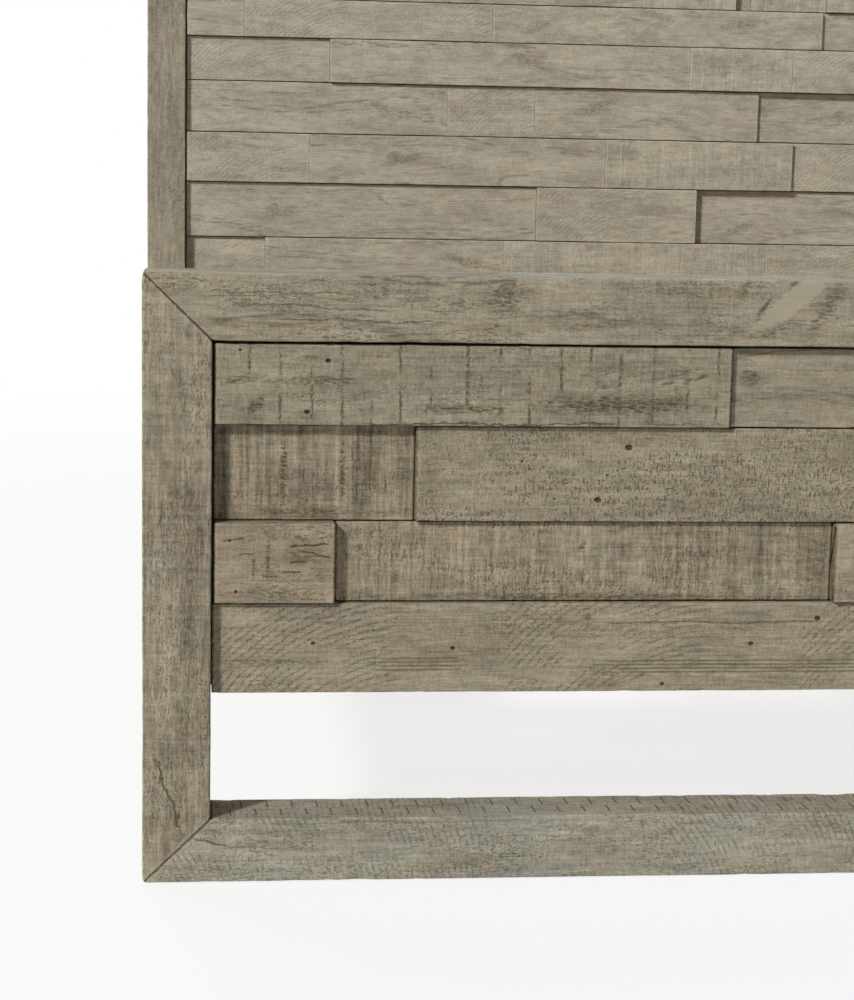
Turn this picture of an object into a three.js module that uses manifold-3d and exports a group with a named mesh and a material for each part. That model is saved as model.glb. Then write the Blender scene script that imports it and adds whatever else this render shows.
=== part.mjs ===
// Panel bed frame in reclaimed pine for a queen mattress. Millimetres, +Z up.
// X runs across the bed, Y from the footboard (-Y) to the headboard (+Y).
// The origin is on the floor, at the middle of the bed.
//
// Each end of the bed is a mitred frame of square stock round a patchwork of plank
// offcuts at three depths, fixed to a backing sheet. Side rails hang between the two
// ends on steel hook plates. Cleats on the rails and a centre beam on two adjustable
// legs carry the slats.

import * as THREE from 'three';
import { mergeVertices } from 'three/addons/utils/BufferGeometryUtils.js';
import Module from 'manifold-3d';

// ---------------------------------------------------------------- sizes

const seat = 0.3; // clearance left where one piece bears on another
const past = 1; // how far a cutting tool runs past the face that it opens

const mattress = { width: 1524, length: 2032 };
const mattressPlay = { width: 26, length: 18 }; // room left round the mattress

const frame = {
  stileWidth: 76, // upright member, seen from the front
  railWidth: 74, // top or bottom member, seen from the front
  depth: 76, // front to back
  mitreGap: 0.4, // a rail's end to its stile, along the rail
};

const panel = {
  clearance: 214, // floor to the lowest plank
  backingFront: 38, // frame's front face to the backing's front face
  backingThickness: 12,
  backingLift: 4, // lowest plank's edge to the backing's edge
  edgeGap: 2, // between the planks and the frame
  plankGap: 1, // between two planks
};

// How far the face of a plank lies behind the face of the frame.
const recess = { proud: 5, middle: 13, deep: 21 };

const sideRail = { thickness: 32, height: 200, bottom: 250, inset: 6 };
const cleat = { width: 30, height: 38, drop: 150, endGap: 35 }; // drop: rail's top to cleat's top
const slat = { count: 10, width: 90, thickness: 19, endGap: 3, firstGap: 60 };
const beam = { width: 40, height: 70, endGap: 30 };
const leg = { width: 60, depth: 45, cheekTopGap: 12, spacing: 420 };

const plate = { width: 22, margin: 11, thickness: 3 }; // margin: above and below the mortise
const hook = {
  spacing: 64, // between the two hooks of a plate
  thickness: 4,
  height: 16, // of the tongue that goes through the slot
  lip: 5, // thickness of the lip behind the slot plate
  drop: 8, // how far the lip reaches below the tongue
  sidePlay: 0.75, // tongue to each side of its slot
  liftPlay: 6, // room over the hook while it goes in
  lipPlay: 0.9, // slot plate to the lip behind it
  mortisePlay: 6, // room round both hooks in the mortise
};

const leveler = {
  padRadius: 20,
  padHeight: 5,
  padRound: 1.5,
  nutRadius: 9,
  nutHeight: 6,
  studRadius: 4,
  studLength: 47,
  travelUp: 10, // how far the foot screws in from where it stands
  endPlay: 1, // left over the nut once it is screwed right in
};
const footSides = 28; // flats round a leveling foot
const boreSides = 20; // flats round its bore

const headboardOverhang = 37; // the headboard is this much wider at each side

// The planks of each end, a course to a line, from the top course down. A course has
// its height, then the length and level of each plank from left to right.
const footboard = {
  name: 'footboard',
  height: 680,
  courses: [
    [90, [[570, 'proud'], [530, 'middle'], [370, 'deep']]],
    [107, [[221, 'deep'], [780, 'middle'], [469, 'proud']]],
    [91, [[134, 'proud'], [562, 'deep'], [265, 'proud'], [509, 'middle']]],
    [102, [[1470, 'middle']]],
  ],
};

const headboard = {
  name: 'headboard',
  height: 1400,
  courses: [
    [81, [[412, 'middle'], [236, 'proud'], [546, 'deep'], [350, 'proud']]],
    [79, [[188, 'proud'], [594, 'middle'], [308, 'proud'], [454, 'middle']]],
    [82, [[664, 'proud'], [245, 'middle'], [192, 'proud'], [33, 'deep'], [155, 'middle'], [255, 'proud']]],
    [75, [[112, 'proud'], [495, 'deep'], [675, 'proud'], [262, 'middle']]],
    [86, [[283, 'middle'], [728, 'proud'], [213, 'middle'], [320, 'proud']]],
    [101, [[520, 'middle'], [178, 'deep'], [460, 'middle'], [386, 'deep']]],
    [98, [[244, 'proud'], [600, 'middle'], [388, 'proud'], [312, 'middle']]],
    [109, [[706, 'middle'], [330, 'proud'], [508, 'deep']]],
    [92, [[158, 'deep'], [482, 'proud'], [544, 'middle'], [360, 'proud']]],
    [103, [[588, 'middle'], [262, 'deep'], [694, 'middle']]],
    [96, [[330, 'proud'], [714, 'middle'], [500, 'proud']]],
    [108, [[1544, 'middle']]],
  ],
};

// ---------------------------------------------------------------- derived sizes

const railLength = mattress.length + mattressPlay.length;
const railInner = (mattress.width + mattressPlay.width) / 2; // bed's centre to a rail's inner face
footboard.width = 2 * (railInner + sideRail.thickness + sideRail.inset);
headboard.width = footboard.width + 2 * headboardOverhang;
const railTop = sideRail.bottom + sideRail.height;
const railMiddle = { x: railInner + sideRail.thickness / 2, z: sideRail.bottom + sideRail.height / 2 };
const slatSeat = railTop - cleat.drop; // top of the cleats and of the centre beam
const letIn = plate.thickness + seat; // how deep each joint plate is let into the wood
const hookReach = letIn + hook.lipPlay; // hooked plate's face to the inside of its lip
const slot = { width: hook.thickness + 2 * hook.sidePlay, height: hook.height + hook.drop + hook.liftPlay };
const mortise = {
  width: hook.thickness + hook.mortisePlay,
  height: hook.spacing + hook.height + 2 * (hook.drop + hook.mortisePlay),
  depth: hookReach + hook.lip + hook.mortisePlay,
};
const plateHeight = mortise.height + 2 * plate.margin;
const legFloorGap = leveler.padHeight + leveler.nutHeight + leveler.travelUp + leveler.endPlay;

// ---------------------------------------------------------------- materials

const finish = (color, roughness, metalness = 0) =>
  new THREE.MeshStandardMaterial({ color, roughness, metalness });

const finishes = {
  frame: finish(0x8b8270, 0.8),
  proud: finish(0x8e8570, 0.8),
  middle: finish(0x877d69, 0.82),
  deep: finish(0x7b705d, 0.85),
  backing: finish(0x9c8a6c, 0.75),
  support: finish(0xb99a6b, 0.7),
  steel: finish(0x9a9c9e, 0.4, 0.9),
  levelerSteel: finish(0x7d7f82, 0.45, 0.9),
};

// ---------------------------------------------------------------- shapes

const wasm = await Module();
wasm.setup();

/** A closed geometry as a solid that can be joined and cut. */
function solidOf(geometry) {
  const bare = geometry.clone();
  bare.deleteAttribute('normal');
  bare.deleteAttribute('uv');
  const merged = mergeVertices(bare, 1e-4);
  return new wasm.Manifold(
    new wasm.Mesh({
      numProp: 3,
      vertProperties: merged.attributes.position.array,
      triVerts: new Uint32Array(merged.index.array),
    }),
  );
}

/** A solid as a geometry again. */
function geometryOf(solid) {
  const mesh = solid.getMesh();
  const geometry = new THREE.BufferGeometry();
  geometry.setAttribute('position', new THREE.BufferAttribute(mesh.vertProperties, 3));
  geometry.setIndex(new THREE.BufferAttribute(mesh.triVerts, 1));
  geometry.computeVertexNormals();
  return geometry;
}

const cut = (geometry, ...tools) =>
  geometryOf(tools.reduce((left, tool) => left.subtract(solidOf(tool)), solidOf(geometry)));

const join = (geometry, ...others) =>
  geometryOf(others.reduce((whole, other) => whole.add(solidOf(other)), solidOf(geometry)));

/** A block between two values on each axis. */
function block([x0, x1], [y0, y1], [z0, z1]) {
  const geometry = new THREE.BoxGeometry(x1 - x0, y1 - y0, z1 - z0);
  return geometry.translate((x0 + x1) / 2, (y0 + y1) / 2, (z0 + z1) / 2);
}

/** An outline of [a, b] points extruded by a length along its normal. */
function extrude(points, length) {
  const outline = new THREE.Shape(points.map(([a, b]) => new THREE.Vector2(a, b)));
  return new THREE.ExtrudeGeometry(outline, { depth: length, bevelEnabled: false });
}

/** An outline of [x, z] points, extruded from y0 to y1. */
function extrudeAlongY(points, [y0, y1]) {
  return extrude(points, y1 - y0).rotateX(Math.PI / 2).translate(0, y1, 0);
}

/** An outline of [y, z] points, extruded from x0 to x1. */
function extrudeAlongX(points, [x0, x1]) {
  const turn = new THREE.Matrix4().makeBasis(
    new THREE.Vector3(0, 1, 0),
    new THREE.Vector3(0, 0, 1),
    new THREE.Vector3(1, 0, 0),
  );
  return extrude(points, x1 - x0).applyMatrix4(turn).translate(x0, 0, 0);
}

/** An outline of [x, y] points, extruded from z0 to z1. */
function extrudeAlongZ(points, [z0, z1]) {
  return extrude(points, z1 - z0).translate(0, 0, z0);
}

function named(name, geometry, material) {
  const mesh = new THREE.Mesh(geometry, material);
  mesh.name = name;
  return mesh;
}

/** The ends of sizes laid one after another from start, trimmed in proportion to fill total. */
function laid(start, total, sizes) {
  const scale = total / sizes.reduce((sum, size) => sum + size, 0);
  const ends = [start];
  for (const size of sizes) ends.push(ends.at(-1) + size * scale);
  return ends;
}

// ---------------------------------------------------------------- ends of the bed

// Both ends share one frame of reference: y = 0 on the front face of the frame, x = 0 at
// its middle, z = 0 on the floor. jointSide is the face that the side rails hook on to.

/** The four mitred members. The rails stop short of the mitre so that the joint shows. */
function mitredFrame(board, jointSide) {
  const half = board.width / 2;
  const inner = half - frame.stileWidth;
  const top = board.height;
  const depth = [0, frame.depth];
  const railEnd = half - frame.mitreGap;
  const railInnerEnd = inner - frame.mitreGap;

  const rail = (outer, inside) => {
    const outline = [[-railEnd, outer], [railEnd, outer], [railInnerEnd, inside], [-railInnerEnd, inside]];
    return extrudeAlongY(outline, depth);
  };
  const group = new THREE.Group();
  group.add(named(`${board.name}_top_rail`, rail(top, top - frame.railWidth), finishes.frame));
  group.add(named(`${board.name}_bottom_rail`, rail(0, frame.railWidth), finishes.frame));

  for (const [side, sign] of [['left', -1], ['right', 1]]) {
    const stile = extrudeAlongY(
      [
        [sign * half, 0],
        [sign * inner, frame.railWidth],
        [sign * inner, top - frame.railWidth],
        [sign * half, top],
      ],
      depth,
    );
    const pocketed = cut(stile, ...jointPockets(sign, jointSide));
    group.add(named(`${board.name}_stile_${side}`, pocketed, finishes.frame));
  }
  return group;
}

/** A span of a size about a middle. */
const around = (middle, size) => [middle - size / 2, middle + size / 2];

/** The recess for a slot plate and the mortise behind it, in one stile's joint face. */
function jointPockets(sign, jointSide) {
  const face = jointSide === 'back' ? frame.depth : 0;
  const inward = jointSide === 'back' ? -1 : 1;
  const span = (depth) => [face - inward * past, face + inward * depth].sort((a, b) => a - b);
  const x = sign * railMiddle.x;
  const { z } = railMiddle;
  return [
    block(around(x, plate.width + 2 * seat), span(letIn), around(z, plateHeight + 2 * seat)),
    block(around(x, mortise.width), span(mortise.depth), around(z, mortise.height)),
  ];
}

/** The sheet that every plank of an end is fixed to. */
function backing(board) {
  const half = board.width / 2 - frame.stileWidth - seat;
  const top = board.height - frame.railWidth - seat;
  const along = [panel.backingFront, panel.backingFront + panel.backingThickness];
  const sheet = block([-half, half], along, [panel.clearance + panel.backingLift, top]);
  return named(`${board.name}_backing_panel`, sheet, finishes.backing);
}

/** Where each plank of an end lies: its course, its place in the course, its spans and level. */
function plankPlaces(board) {
  const half = board.width / 2 - frame.stileWidth - panel.edgeGap;
  const top = board.height - frame.railWidth - panel.edgeGap;
  const heights = board.courses.map(([height]) => height);
  const levels = laid(0, top - panel.clearance, heights).map((below) => top - below);
  return board.courses.map(([, planks], course) => {
    const ends = laid(-half, 2 * half, planks.map(([length]) => length));
    const last = course === board.courses.length - 1;
    const z = [levels[course + 1] + (last ? 0 : panel.plankGap), levels[course]];
    return planks.map(([, level], i) => ({
      x: [ends[i], ends[i + 1] - (i === planks.length - 1 ? 0 : panel.plankGap)],
      z,
      level,
    }));
  });
}

/** Planks as separate pieces, each its own mesh. */
function separatePlanks(board) {
  const group = new THREE.Group();
  plankPlaces(board).forEach((course, row) => {
    course.forEach(({ x, z, level }, i) => {
      const name = `${board.name}_plank_row${row + 1}_${i + 1}`;
      const y = [recess[level], panel.backingFront - seat];
      group.add(named(name, block(x, y, z), finishes[level]));
    });
  });
  return group;
}

/** Planks joined into one stepped piece for each course. */
function joinedCourses(board) {
  const group = new THREE.Group();
  plankPlaces(board).forEach((course, row) => {
    const back = panel.backingFront - seat;
    const front = course.flatMap(({ x, level }, i) => {
      const end = i === course.length - 1 ? x[1] : course[i + 1].x[0];
      return [[x[0], recess[level]], [end, recess[level]]];
    });
    const outline = [...front, [front.at(-1)[0], back], [front[0][0], back]];
    const name = `${board.name}_plank_course_${String(row + 1).padStart(2, '0')}`;
    group.add(named(name, extrudeAlongZ(outline, course[0].z), finishes.middle));
  });
  return group;
}

// ---------------------------------------------------------------- rail joints

// A joint is built as at the footboard: the stile's joint face at y = 0, the rail beyond
// it towards +Y. Turning it half a turn about Z makes the headboard's joint.

const hookHeights = [-hook.spacing / 2, hook.spacing / 2];

/** The slotted plate let into a stile. */
function slotPlate(name) {
  const sheet = block(around(0, plate.width), [-plate.thickness, 0], around(0, plateHeight));
  const slots = hookHeights.map((z) => {
    const bottom = z - hook.height / 2 - seat;
    return block(around(0, slot.width), [-plate.thickness - past, past], [bottom, bottom + slot.height]);
  });
  return named(name, cut(sheet, ...slots), finishes.steel);
}

/** The plate let into a rail's end, with two hooks that drop into the slots. */
function hookedPlate(name) {
  const sheet = block(around(0, plate.width), [seat, seat + plate.thickness], around(0, plateHeight));
  const root = seat + plate.thickness / 2;
  const inside = seat - hookReach;
  const outside = inside - hook.lip;
  const hooks = hookHeights.map((z) => {
    const [bottom, top] = around(z, hook.height);
    const outline = [
      [root, top],
      [outside, top],
      [outside, bottom - hook.drop],
      [inside, bottom - hook.drop],
      [inside, bottom],
      [root, bottom],
    ];
    return extrudeAlongX(outline, around(0, hook.thickness));
  });
  return named(name, join(sheet, ...hooks), finishes.steel);
}

/** The four joints, each a slot plate in a stile and a hooked plate in a rail. */
function railJoints() {
  const joints = new THREE.Group();
  for (const [end, y, turn] of [['foot', -railLength / 2, 0], ['head', railLength / 2, Math.PI]]) {
    for (const [side, sign] of [['left', -1], ['right', 1]]) {
      const joint = new THREE.Group();
      joint.add(slotPlate(`slot_plate_${end}_${side}`), hookedPlate(`hook_plate_${end}_${side}`));
      joint.position.set(sign * railMiddle.x, y, railMiddle.z);
      joint.rotation.z = turn;
      joints.add(joint);
    }
  }
  return joints;
}

// ---------------------------------------------------------------- rails and slats

/** A side rail, with a recess in each end for a hooked plate. */
function sideRailBoard(name, sign) {
  const half = railLength / 2 - seat;
  const across = around(sign * railMiddle.x, sideRail.thickness);
  const board = block(across, [-half, half], [sideRail.bottom, railTop]);
  const recesses = [[-half - past, letIn - half], [half - letIn, half + past]].map((along) =>
    block(
      around(sign * railMiddle.x, plate.width + 2 * seat),
      along,
      around(railMiddle.z, plateHeight + 2 * seat),
    ),
  );
  return named(name, cut(board, ...recesses), finishes.frame);
}

/** The ledge on a side rail's inner face that the slats lie on. */
function slatCleat(name, sign) {
  const half = railLength / 2 - cleat.endGap;
  const across = around(sign * (railInner - seat - cleat.width / 2), cleat.width);
  return named(name, block(across, [-half, half], [slatSeat - cleat.height, slatSeat]), finishes.support);
}

/** Both side rails and their cleats. */
function sideRails() {
  const group = new THREE.Group();
  for (const [side, sign] of [['left', -1], ['right', 1]]) {
    group.add(sideRailBoard(`side_rail_${side}`, sign), slatCleat(`slat_cleat_${side}`, sign));
  }
  return group;
}

/** The slats, evenly spaced from end to end. */
function slats() {
  const group = new THREE.Group();
  const half = railInner - slat.endGap;
  const first = -railLength / 2 + slat.firstGap + slat.width / 2;
  const pitch = (-2 * first) / (slat.count - 1);
  for (let i = 0; i < slat.count; i++) {
    const piece = named(
      `slat_${String(i + 1).padStart(2, '0')}`,
      new THREE.BoxGeometry(2 * half, slat.width, slat.thickness),
      finishes.support,
    );
    piece.position.set(0, first + i * pitch, slatSeat + seat + slat.thickness / 2);
    group.add(piece);
  }
  return group;
}

// ---------------------------------------------------------------- centre support

/** A leg lapped on to the beam's side, with the beam on its shoulder and a bore for the leveler. */
function supportLeg(name) {
  const side = beam.width / 2;
  const [left, right] = [-side, leg.width - side];
  const shoulder = slatSeat - beam.height - seat;
  const cheekTop = slatSeat - leg.cheekTopGap;
  const outline = [
    [left, legFloorGap],
    [right, legFloorGap],
    [right, cheekTop],
    [side + seat, cheekTop],
    [side + seat, shoulder],
    [left, shoulder],
  ];
  const radius = leveler.studRadius + seat;
  const bore = new THREE.CylinderGeometry(radius, radius, leveler.studLength + past, boreSides);
  bore.rotateX(Math.PI / 2);
  bore.translate((left + right) / 2, 0, legFloorGap + (leveler.studLength - past) / 2);
  return named(name, cut(extrudeAlongY(outline, around(0, leg.depth)), bore), finishes.support);
}

/** A screw foot: a round pad, a nut to turn it by, and a stud up the leg's bore. */
function levelingFoot(name) {
  const { padRadius, padHeight, padRound, nutRadius, studRadius } = leveler;
  const nutTop = padHeight + leveler.nutHeight;
  const studTop = nutTop + leveler.studLength;
  const profile = [
    [0, 0],
    [padRadius - padRound, 0],
    [padRadius, padRound],
    [padRadius, padHeight - padRound],
    [padRadius - padRound, padHeight],
    [nutRadius, padHeight],
    [nutRadius, nutTop],
    [studRadius, nutTop],
    [studRadius, studTop],
    [0, studTop],
  ].map(([r, z]) => new THREE.Vector2(r, z));
  const turned = new THREE.LatheGeometry(profile, footSides).rotateX(Math.PI / 2);
  return named(name, turned, finishes.levelerSteel);
}

/** The beam under the slats, and its two legs with their feet. */
function centreSupport() {
  const group = new THREE.Group();
  const along = around(0, railLength - 2 * beam.endGap);
  const bearer = block(around(0, beam.width), along, [slatSeat - beam.height, slatSeat]);
  group.add(named('center_beam', bearer, finishes.support));
  for (const [place, sign] of [['foot', -1], ['head', 1]]) {
    const support = new THREE.Group();
    const foot = levelingFoot(`leveling_foot_${place}`);
    foot.position.x = leg.width / 2 - beam.width / 2;
    support.add(supportLeg(`center_leg_${place}`), foot);
    support.position.y = (sign * leg.spacing) / 2;
    group.add(support);
  }
  return group;
}

// ---------------------------------------------------------------- the bed

const bed = new THREE.Group();

const footEnd = new THREE.Group();
footEnd.add(mitredFrame(footboard, 'back'), backing(footboard), separatePlanks(footboard));
footEnd.position.y = -railLength / 2 - frame.depth;

const headEnd = new THREE.Group();
headEnd.add(mitredFrame(headboard, 'front'), backing(headboard), joinedCourses(headboard));
headEnd.position.y = railLength / 2;

bed.add(footEnd, headEnd, railJoints(), sideRails(), slats(), centreSupport());

export default bed;
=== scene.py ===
"""A panel bed frame in reclaimed pine: its boards, fasteners and feet, its light and its view.

Lengths are in metres, +Z is up and +Y points from the footboard to the headboard. Every
board is a rounded section carried along its grain. It holds its own coordinates, along,
across and into the board, which its finish reads, so the grain follows the board.
"""

import logging
import math
from collections.abc import Iterable, Sequence
from dataclasses import dataclass
from enum import Enum

import bpy
import numpy as np
from mathutils import Matrix
from mathutils import Vector as Direction
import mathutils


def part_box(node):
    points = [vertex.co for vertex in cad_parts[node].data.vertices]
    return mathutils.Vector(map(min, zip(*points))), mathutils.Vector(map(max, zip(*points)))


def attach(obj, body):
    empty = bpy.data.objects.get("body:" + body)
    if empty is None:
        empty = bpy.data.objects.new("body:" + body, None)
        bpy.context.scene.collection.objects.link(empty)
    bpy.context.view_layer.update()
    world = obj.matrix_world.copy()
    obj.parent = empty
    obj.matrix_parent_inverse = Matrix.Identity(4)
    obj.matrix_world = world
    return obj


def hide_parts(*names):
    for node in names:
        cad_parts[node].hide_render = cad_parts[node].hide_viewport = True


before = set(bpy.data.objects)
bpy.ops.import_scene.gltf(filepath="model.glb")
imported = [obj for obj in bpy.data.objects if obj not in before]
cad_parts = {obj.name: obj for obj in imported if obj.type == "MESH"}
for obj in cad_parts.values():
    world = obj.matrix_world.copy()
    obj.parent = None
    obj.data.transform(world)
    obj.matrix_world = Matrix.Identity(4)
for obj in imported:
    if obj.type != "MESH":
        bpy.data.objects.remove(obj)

log = logging.getLogger("bed_frame")
BODY = "bed"
MM = 0.001
Vector = tuple[float, float, float]
Colour = tuple[float, float, float]
Socket = bpy.types.NodeSocket
Material = bpy.types.Material
Piece = bpy.types.Object
Mesh = tuple[np.ndarray, list[list[int]]]

X_AXIS = np.array((1.0, 0.0, 0.0))
Y_AXIS = np.array((0.0, 1.0, 0.0))
Z_AXIS = np.array((0.0, 0.0, 1.0))
WHITE = (1.0, 1.0, 1.0, 1.0)


# ---- numbers and noise


def ease(t: np.ndarray) -> np.ndarray:
    """Return t clipped to 0..1 and eased at both ends, 3t^2 - 2t^3."""
    t = np.clip(t, 0.0, 1.0)
    return t * t * (3.0 - 2.0 * t)


def value_noise(x: np.ndarray, y: np.ndarray, seed: int) -> np.ndarray:
    """Smooth noise in -1..1: random heights on a unit lattice, eased from corner to corner.

    Args:
        x: First coordinate, in lattice steps.
        y: Second coordinate, in lattice steps.
        seed: Picks the lattice's heights.

    Returns:
        The noise at each (x, y), which broadcast together.
    """
    cells = 128
    heights = np.random.default_rng(seed).uniform(-1.0, 1.0, (cells, cells))
    x, y = np.broadcast_arrays(np.asarray(x, float), np.asarray(y, float))
    column, row = np.floor(x).astype(int), np.floor(y).astype(int)
    u, v = ease(x - column), ease(y - row)
    near, far = column % cells, (column + 1) % cells
    low, high = row % cells, (row + 1) % cells
    bottom = heights[near, low] * (1 - u) + heights[far, low] * u
    top = heights[near, high] * (1 - u) + heights[far, high] * u
    return bottom * (1 - v) + top * v


def linear(red: int, green: int, blue: int) -> Colour:
    """Turn a screen colour into linear light by the sRGB curve.

    Args:
        red: Its red, 0 to 255.
        green: Its green.
        blue: Its blue.

    Returns:
        The colour, 0 to 1 in each channel.
    """

    def channel(level: int) -> float:
        """Return one channel's linear value."""
        share = level / 255
        return share / 12.92 if share <= 0.04045 else ((share + 0.055) / 1.055) ** 2.4

    return channel(red), channel(green), channel(blue)


def scaled(colour: Colour, *factors: float) -> Colour:
    """Return a colour times one factor, or times a factor for each channel."""
    shares = factors * 3 if len(factors) == 1 else factors
    return tuple(min(1.0, level * share) for level, share in zip(colour, shares))


# ---- shader nodes


class Signal:
    """A number that varies over a surface. Python's operators on it add Math nodes."""

    def __init__(self, nodes: "Nodes", socket: Socket) -> None:
        """Wrap the socket that carries the number."""
        self.nodes = nodes
        self.socket = socket

    def _math(self, operation: str, *operands: object) -> "Signal":
        """Return the Math node of an operation on one or two operands."""
        node = self.nodes.node("ShaderNodeMath", {"operation": operation}, dict(enumerate(operands)))
        return Signal(self.nodes, node.outputs[0])

    def __add__(self, other: object) -> "Signal":
        """Return self + other."""
        return self._math("ADD", self, other)

    __radd__ = __add__

    def __sub__(self, other: object) -> "Signal":
        """Return self - other."""
        return self._math("SUBTRACT", self, other)

    def __rsub__(self, other: object) -> "Signal":
        """Return other - self."""
        return self._math("SUBTRACT", other, self)

    def __mul__(self, other: object) -> "Signal":
        """Return self * other."""
        return self._math("MULTIPLY", self, other)

    __rmul__ = __mul__

    def __truediv__(self, other: object) -> "Signal":
        """Return self / other."""
        return self._math("DIVIDE", self, other)

    def __rtruediv__(self, other: object) -> "Signal":
        """Return other / self."""
        return self._math("DIVIDE", other, self)

    def sine(self) -> "Signal":
        """Return the sine of self, in radians."""
        return self._math("SINE", self)

    def size(self) -> "Signal":
        """Return self without its sign."""
        return self._math("ABSOLUTE", self)

    def root(self) -> "Signal":
        """Return the square root of self."""
        return self._math("SQRT", self)

    def fraction(self) -> "Signal":
        """Return what is left of self past a whole number."""
        return self._math("FRACT", self)

    def greatest(self, other: object) -> "Signal":
        """Return the greater of self and other."""
        return self._math("MAXIMUM", self, other)

    def rise(self, low: float, high: float) -> "Signal":
        """Step smoothly up from 0 to 1.

        Args:
            low: Where the step starts. Under it the result is 0.
            high: Where it ends. Over it the result is 1.

        Returns:
            The step.
        """
        settings = {"interpolation_type": "SMOOTHSTEP"}
        node = self.nodes.node("ShaderNodeMapRange", settings, {0: self, 1: low, 2: high})
        return Signal(self.nodes, node.outputs[0])

    def fall(self, low: float, high: float) -> "Signal":
        """Return 1 where self is under low and 0 where it is over high."""
        return 1.0 - self.rise(low, high)


class Nodes:
    """A node tree that is being built."""

    def __init__(self, tree: bpy.types.NodeTree) -> None:
        """Take over a tree and empty it."""
        self.tree = tree
        tree.nodes.clear()

    def node(self, kind: str, settings: dict, values: dict) -> bpy.types.Node:
        """Add a node.

        Args:
            kind: The node's type.
            settings: Its properties, set first.
            values: By input name or number, a Signal, a socket or a plain value.

        Returns:
            The node.
        """
        made = self.tree.nodes.new(kind)
        for key, setting in settings.items():
            setattr(made, key, setting)
        for key, value in values.items():
            plug = value.socket if isinstance(value, Signal) else value
            if isinstance(plug, Socket):
                self.tree.links.new(plug, made.inputs[key])
            else:
                made.inputs[key].default_value = plug
        return made


class Shader(Nodes):
    """One material's node tree, with a method for each kind of step."""

    def __init__(self, name: str) -> None:
        """Make an empty material.

        Args:
            name: The material's name.
        """
        self.material = bpy.data.materials.new(name)
        self.material.use_nodes = True
        super().__init__(self.material.node_tree)

    def attribute(self, name: str) -> Socket:
        """Return a mesh attribute as a vector."""
        return self.node("ShaderNodeAttribute", {"attribute_name": name}, {}).outputs["Vector"]

    def level(self, name: str) -> Signal:
        """Return a mesh attribute as a number."""
        node = self.node("ShaderNodeAttribute", {"attribute_name": name}, {})
        return Signal(self, node.outputs["Fac"])

    def own_place(self) -> Socket:
        """Return the place on the piece in its object's coordinates."""
        return self.node("ShaderNodeTexCoord", {}, {}).outputs["Object"]

    def part(self, vector: Socket, axis: int) -> Signal:
        """Return one component of a vector."""
        return Signal(self, self.node("ShaderNodeSeparateXYZ", {}, {0: vector}).outputs[axis])

    def vector_math(self, operation: str, *operands: object) -> bpy.types.NodeOutputs:
        """Return the outputs, Vector and Value, of a Vector Math node on one or two vectors."""
        settings, values = {"operation": operation}, dict(enumerate(operands))
        return self.node("ShaderNodeVectorMath", settings, values).outputs

    def noise(
        self, vector: Socket, scale: Vector, detail: float = 2.0, roughness: float = 0.5
    ) -> Signal:
        """Add a noise texture.

        Args:
            vector: The place that it is read at.
            scale: Its own scale along each axis, in cycles a metre.
            detail: How many finer layers it has.
            roughness: How strong each finer layer is.

        Returns:
            Noise about 0.5.
        """
        stretched = self.vector_math("MULTIPLY", vector, scale)[0]
        values = {"Vector": stretched, "Scale": 1.0, "Detail": detail, "Roughness": roughness}
        return Signal(self, self.node("ShaderNodeTexNoise", {}, values).outputs[0])

    def mix(self, share: object, first: object, second: object) -> Socket:
        """Mix two colours.

        Args:
            share: How much of the second, 0 to 1.
            first: A colour or a colour socket.
            second: The same.

        Returns:
            The mixed colour's socket.
        """
        first, second = (
            (*colour, 1.0) if isinstance(colour, tuple) else colour for colour in (first, second)
        )
        values = {0: share, 6: first, 7: second}
        return self.node("ShaderNodeMix", {"data_type": "RGBA"}, values).outputs[2]

    def shade(self, colour: object, by: object) -> Socket:
        """Return a colour scaled by a number."""
        values = {0: colour, "Scale": by}
        return self.node("ShaderNodeVectorMath", {"operation": "SCALE"}, values).outputs[0]

    def surface(
        self,
        colour: object,
        roughness: object,
        height: Signal,
        bump: float,
        metallic: float = 0.0,
        specular: float = 0.5,
    ) -> Material:
        """Finish the tree with a Principled surface.

        Args:
            colour: Base colour's socket.
            roughness: A Signal or a number.
            height: Relief in millimetres.
            bump: Share of the relief that is shown.
            metallic: 0 for wood, 1 for metal.
            specular: The Principled node's specular level.

        Returns:
            The material.
        """
        relief = {"Height": height, "Strength": bump, "Distance": MM}
        values = {
            "Base Color": colour,
            "Roughness": roughness,
            "Metallic": metallic,
            "Specular IOR Level": specular,
            "Normal": self.node("ShaderNodeBump", {}, relief).outputs[0],
        }
        lit = self.node("ShaderNodeBsdfPrincipled", {}, values)
        self.node("ShaderNodeOutputMaterial", {}, {"Surface": lit.outputs[0]})
        return self.material


# ---- marks on a board


@dataclass(frozen=True)
class Hole:
    """A nail hole in a board's face, in millimetres from the board's low corner.

    Attributes:
        along: Its middle along the board.
        across: Its middle across the board.
        radius: Its radius.
        depth: Its depth.
    """

    along: float
    across: float
    radius: float = 2.6
    depth: float = 2.4


class MarkKind(Enum):
    """What a mark on a board's face is."""

    CRACK = "crack"
    KNOT = "knot"
    STREAK = "streak"
    SCAR = "scar"
    SMEAR = "smear"
    GROOVES = "grooves"


CRACK, KNOT, STREAK, SCAR, SMEAR, GROOVES = MarkKind


@dataclass(frozen=True)
class Mark:
    """A mark on a board's face, in millimetres from the board's low corner.

    Attributes:
        kind: What the mark is.
        along: Its middle along the board.
        across: Its middle across the board.
        length: Its length.
        width: Its width.
        turn: Degrees from the grain to its length.
        strength: How strongly it shows, 0 to 1.
    """

    kind: MarkKind
    along: float
    across: float
    length: float
    width: float
    turn: float
    strength: float


# ---- finishes


class Finish:
    """A surface finish, whose material is made when it is first asked for."""

    name: str

    def material(self) -> Material:
        """Return the finish's material."""
        known = bpy.data.materials.get(self.name)
        return known if known else self._built()

    def _built(self) -> Material:
        """Build the material. Each finish has its own way."""
        raise NotImplementedError


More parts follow.
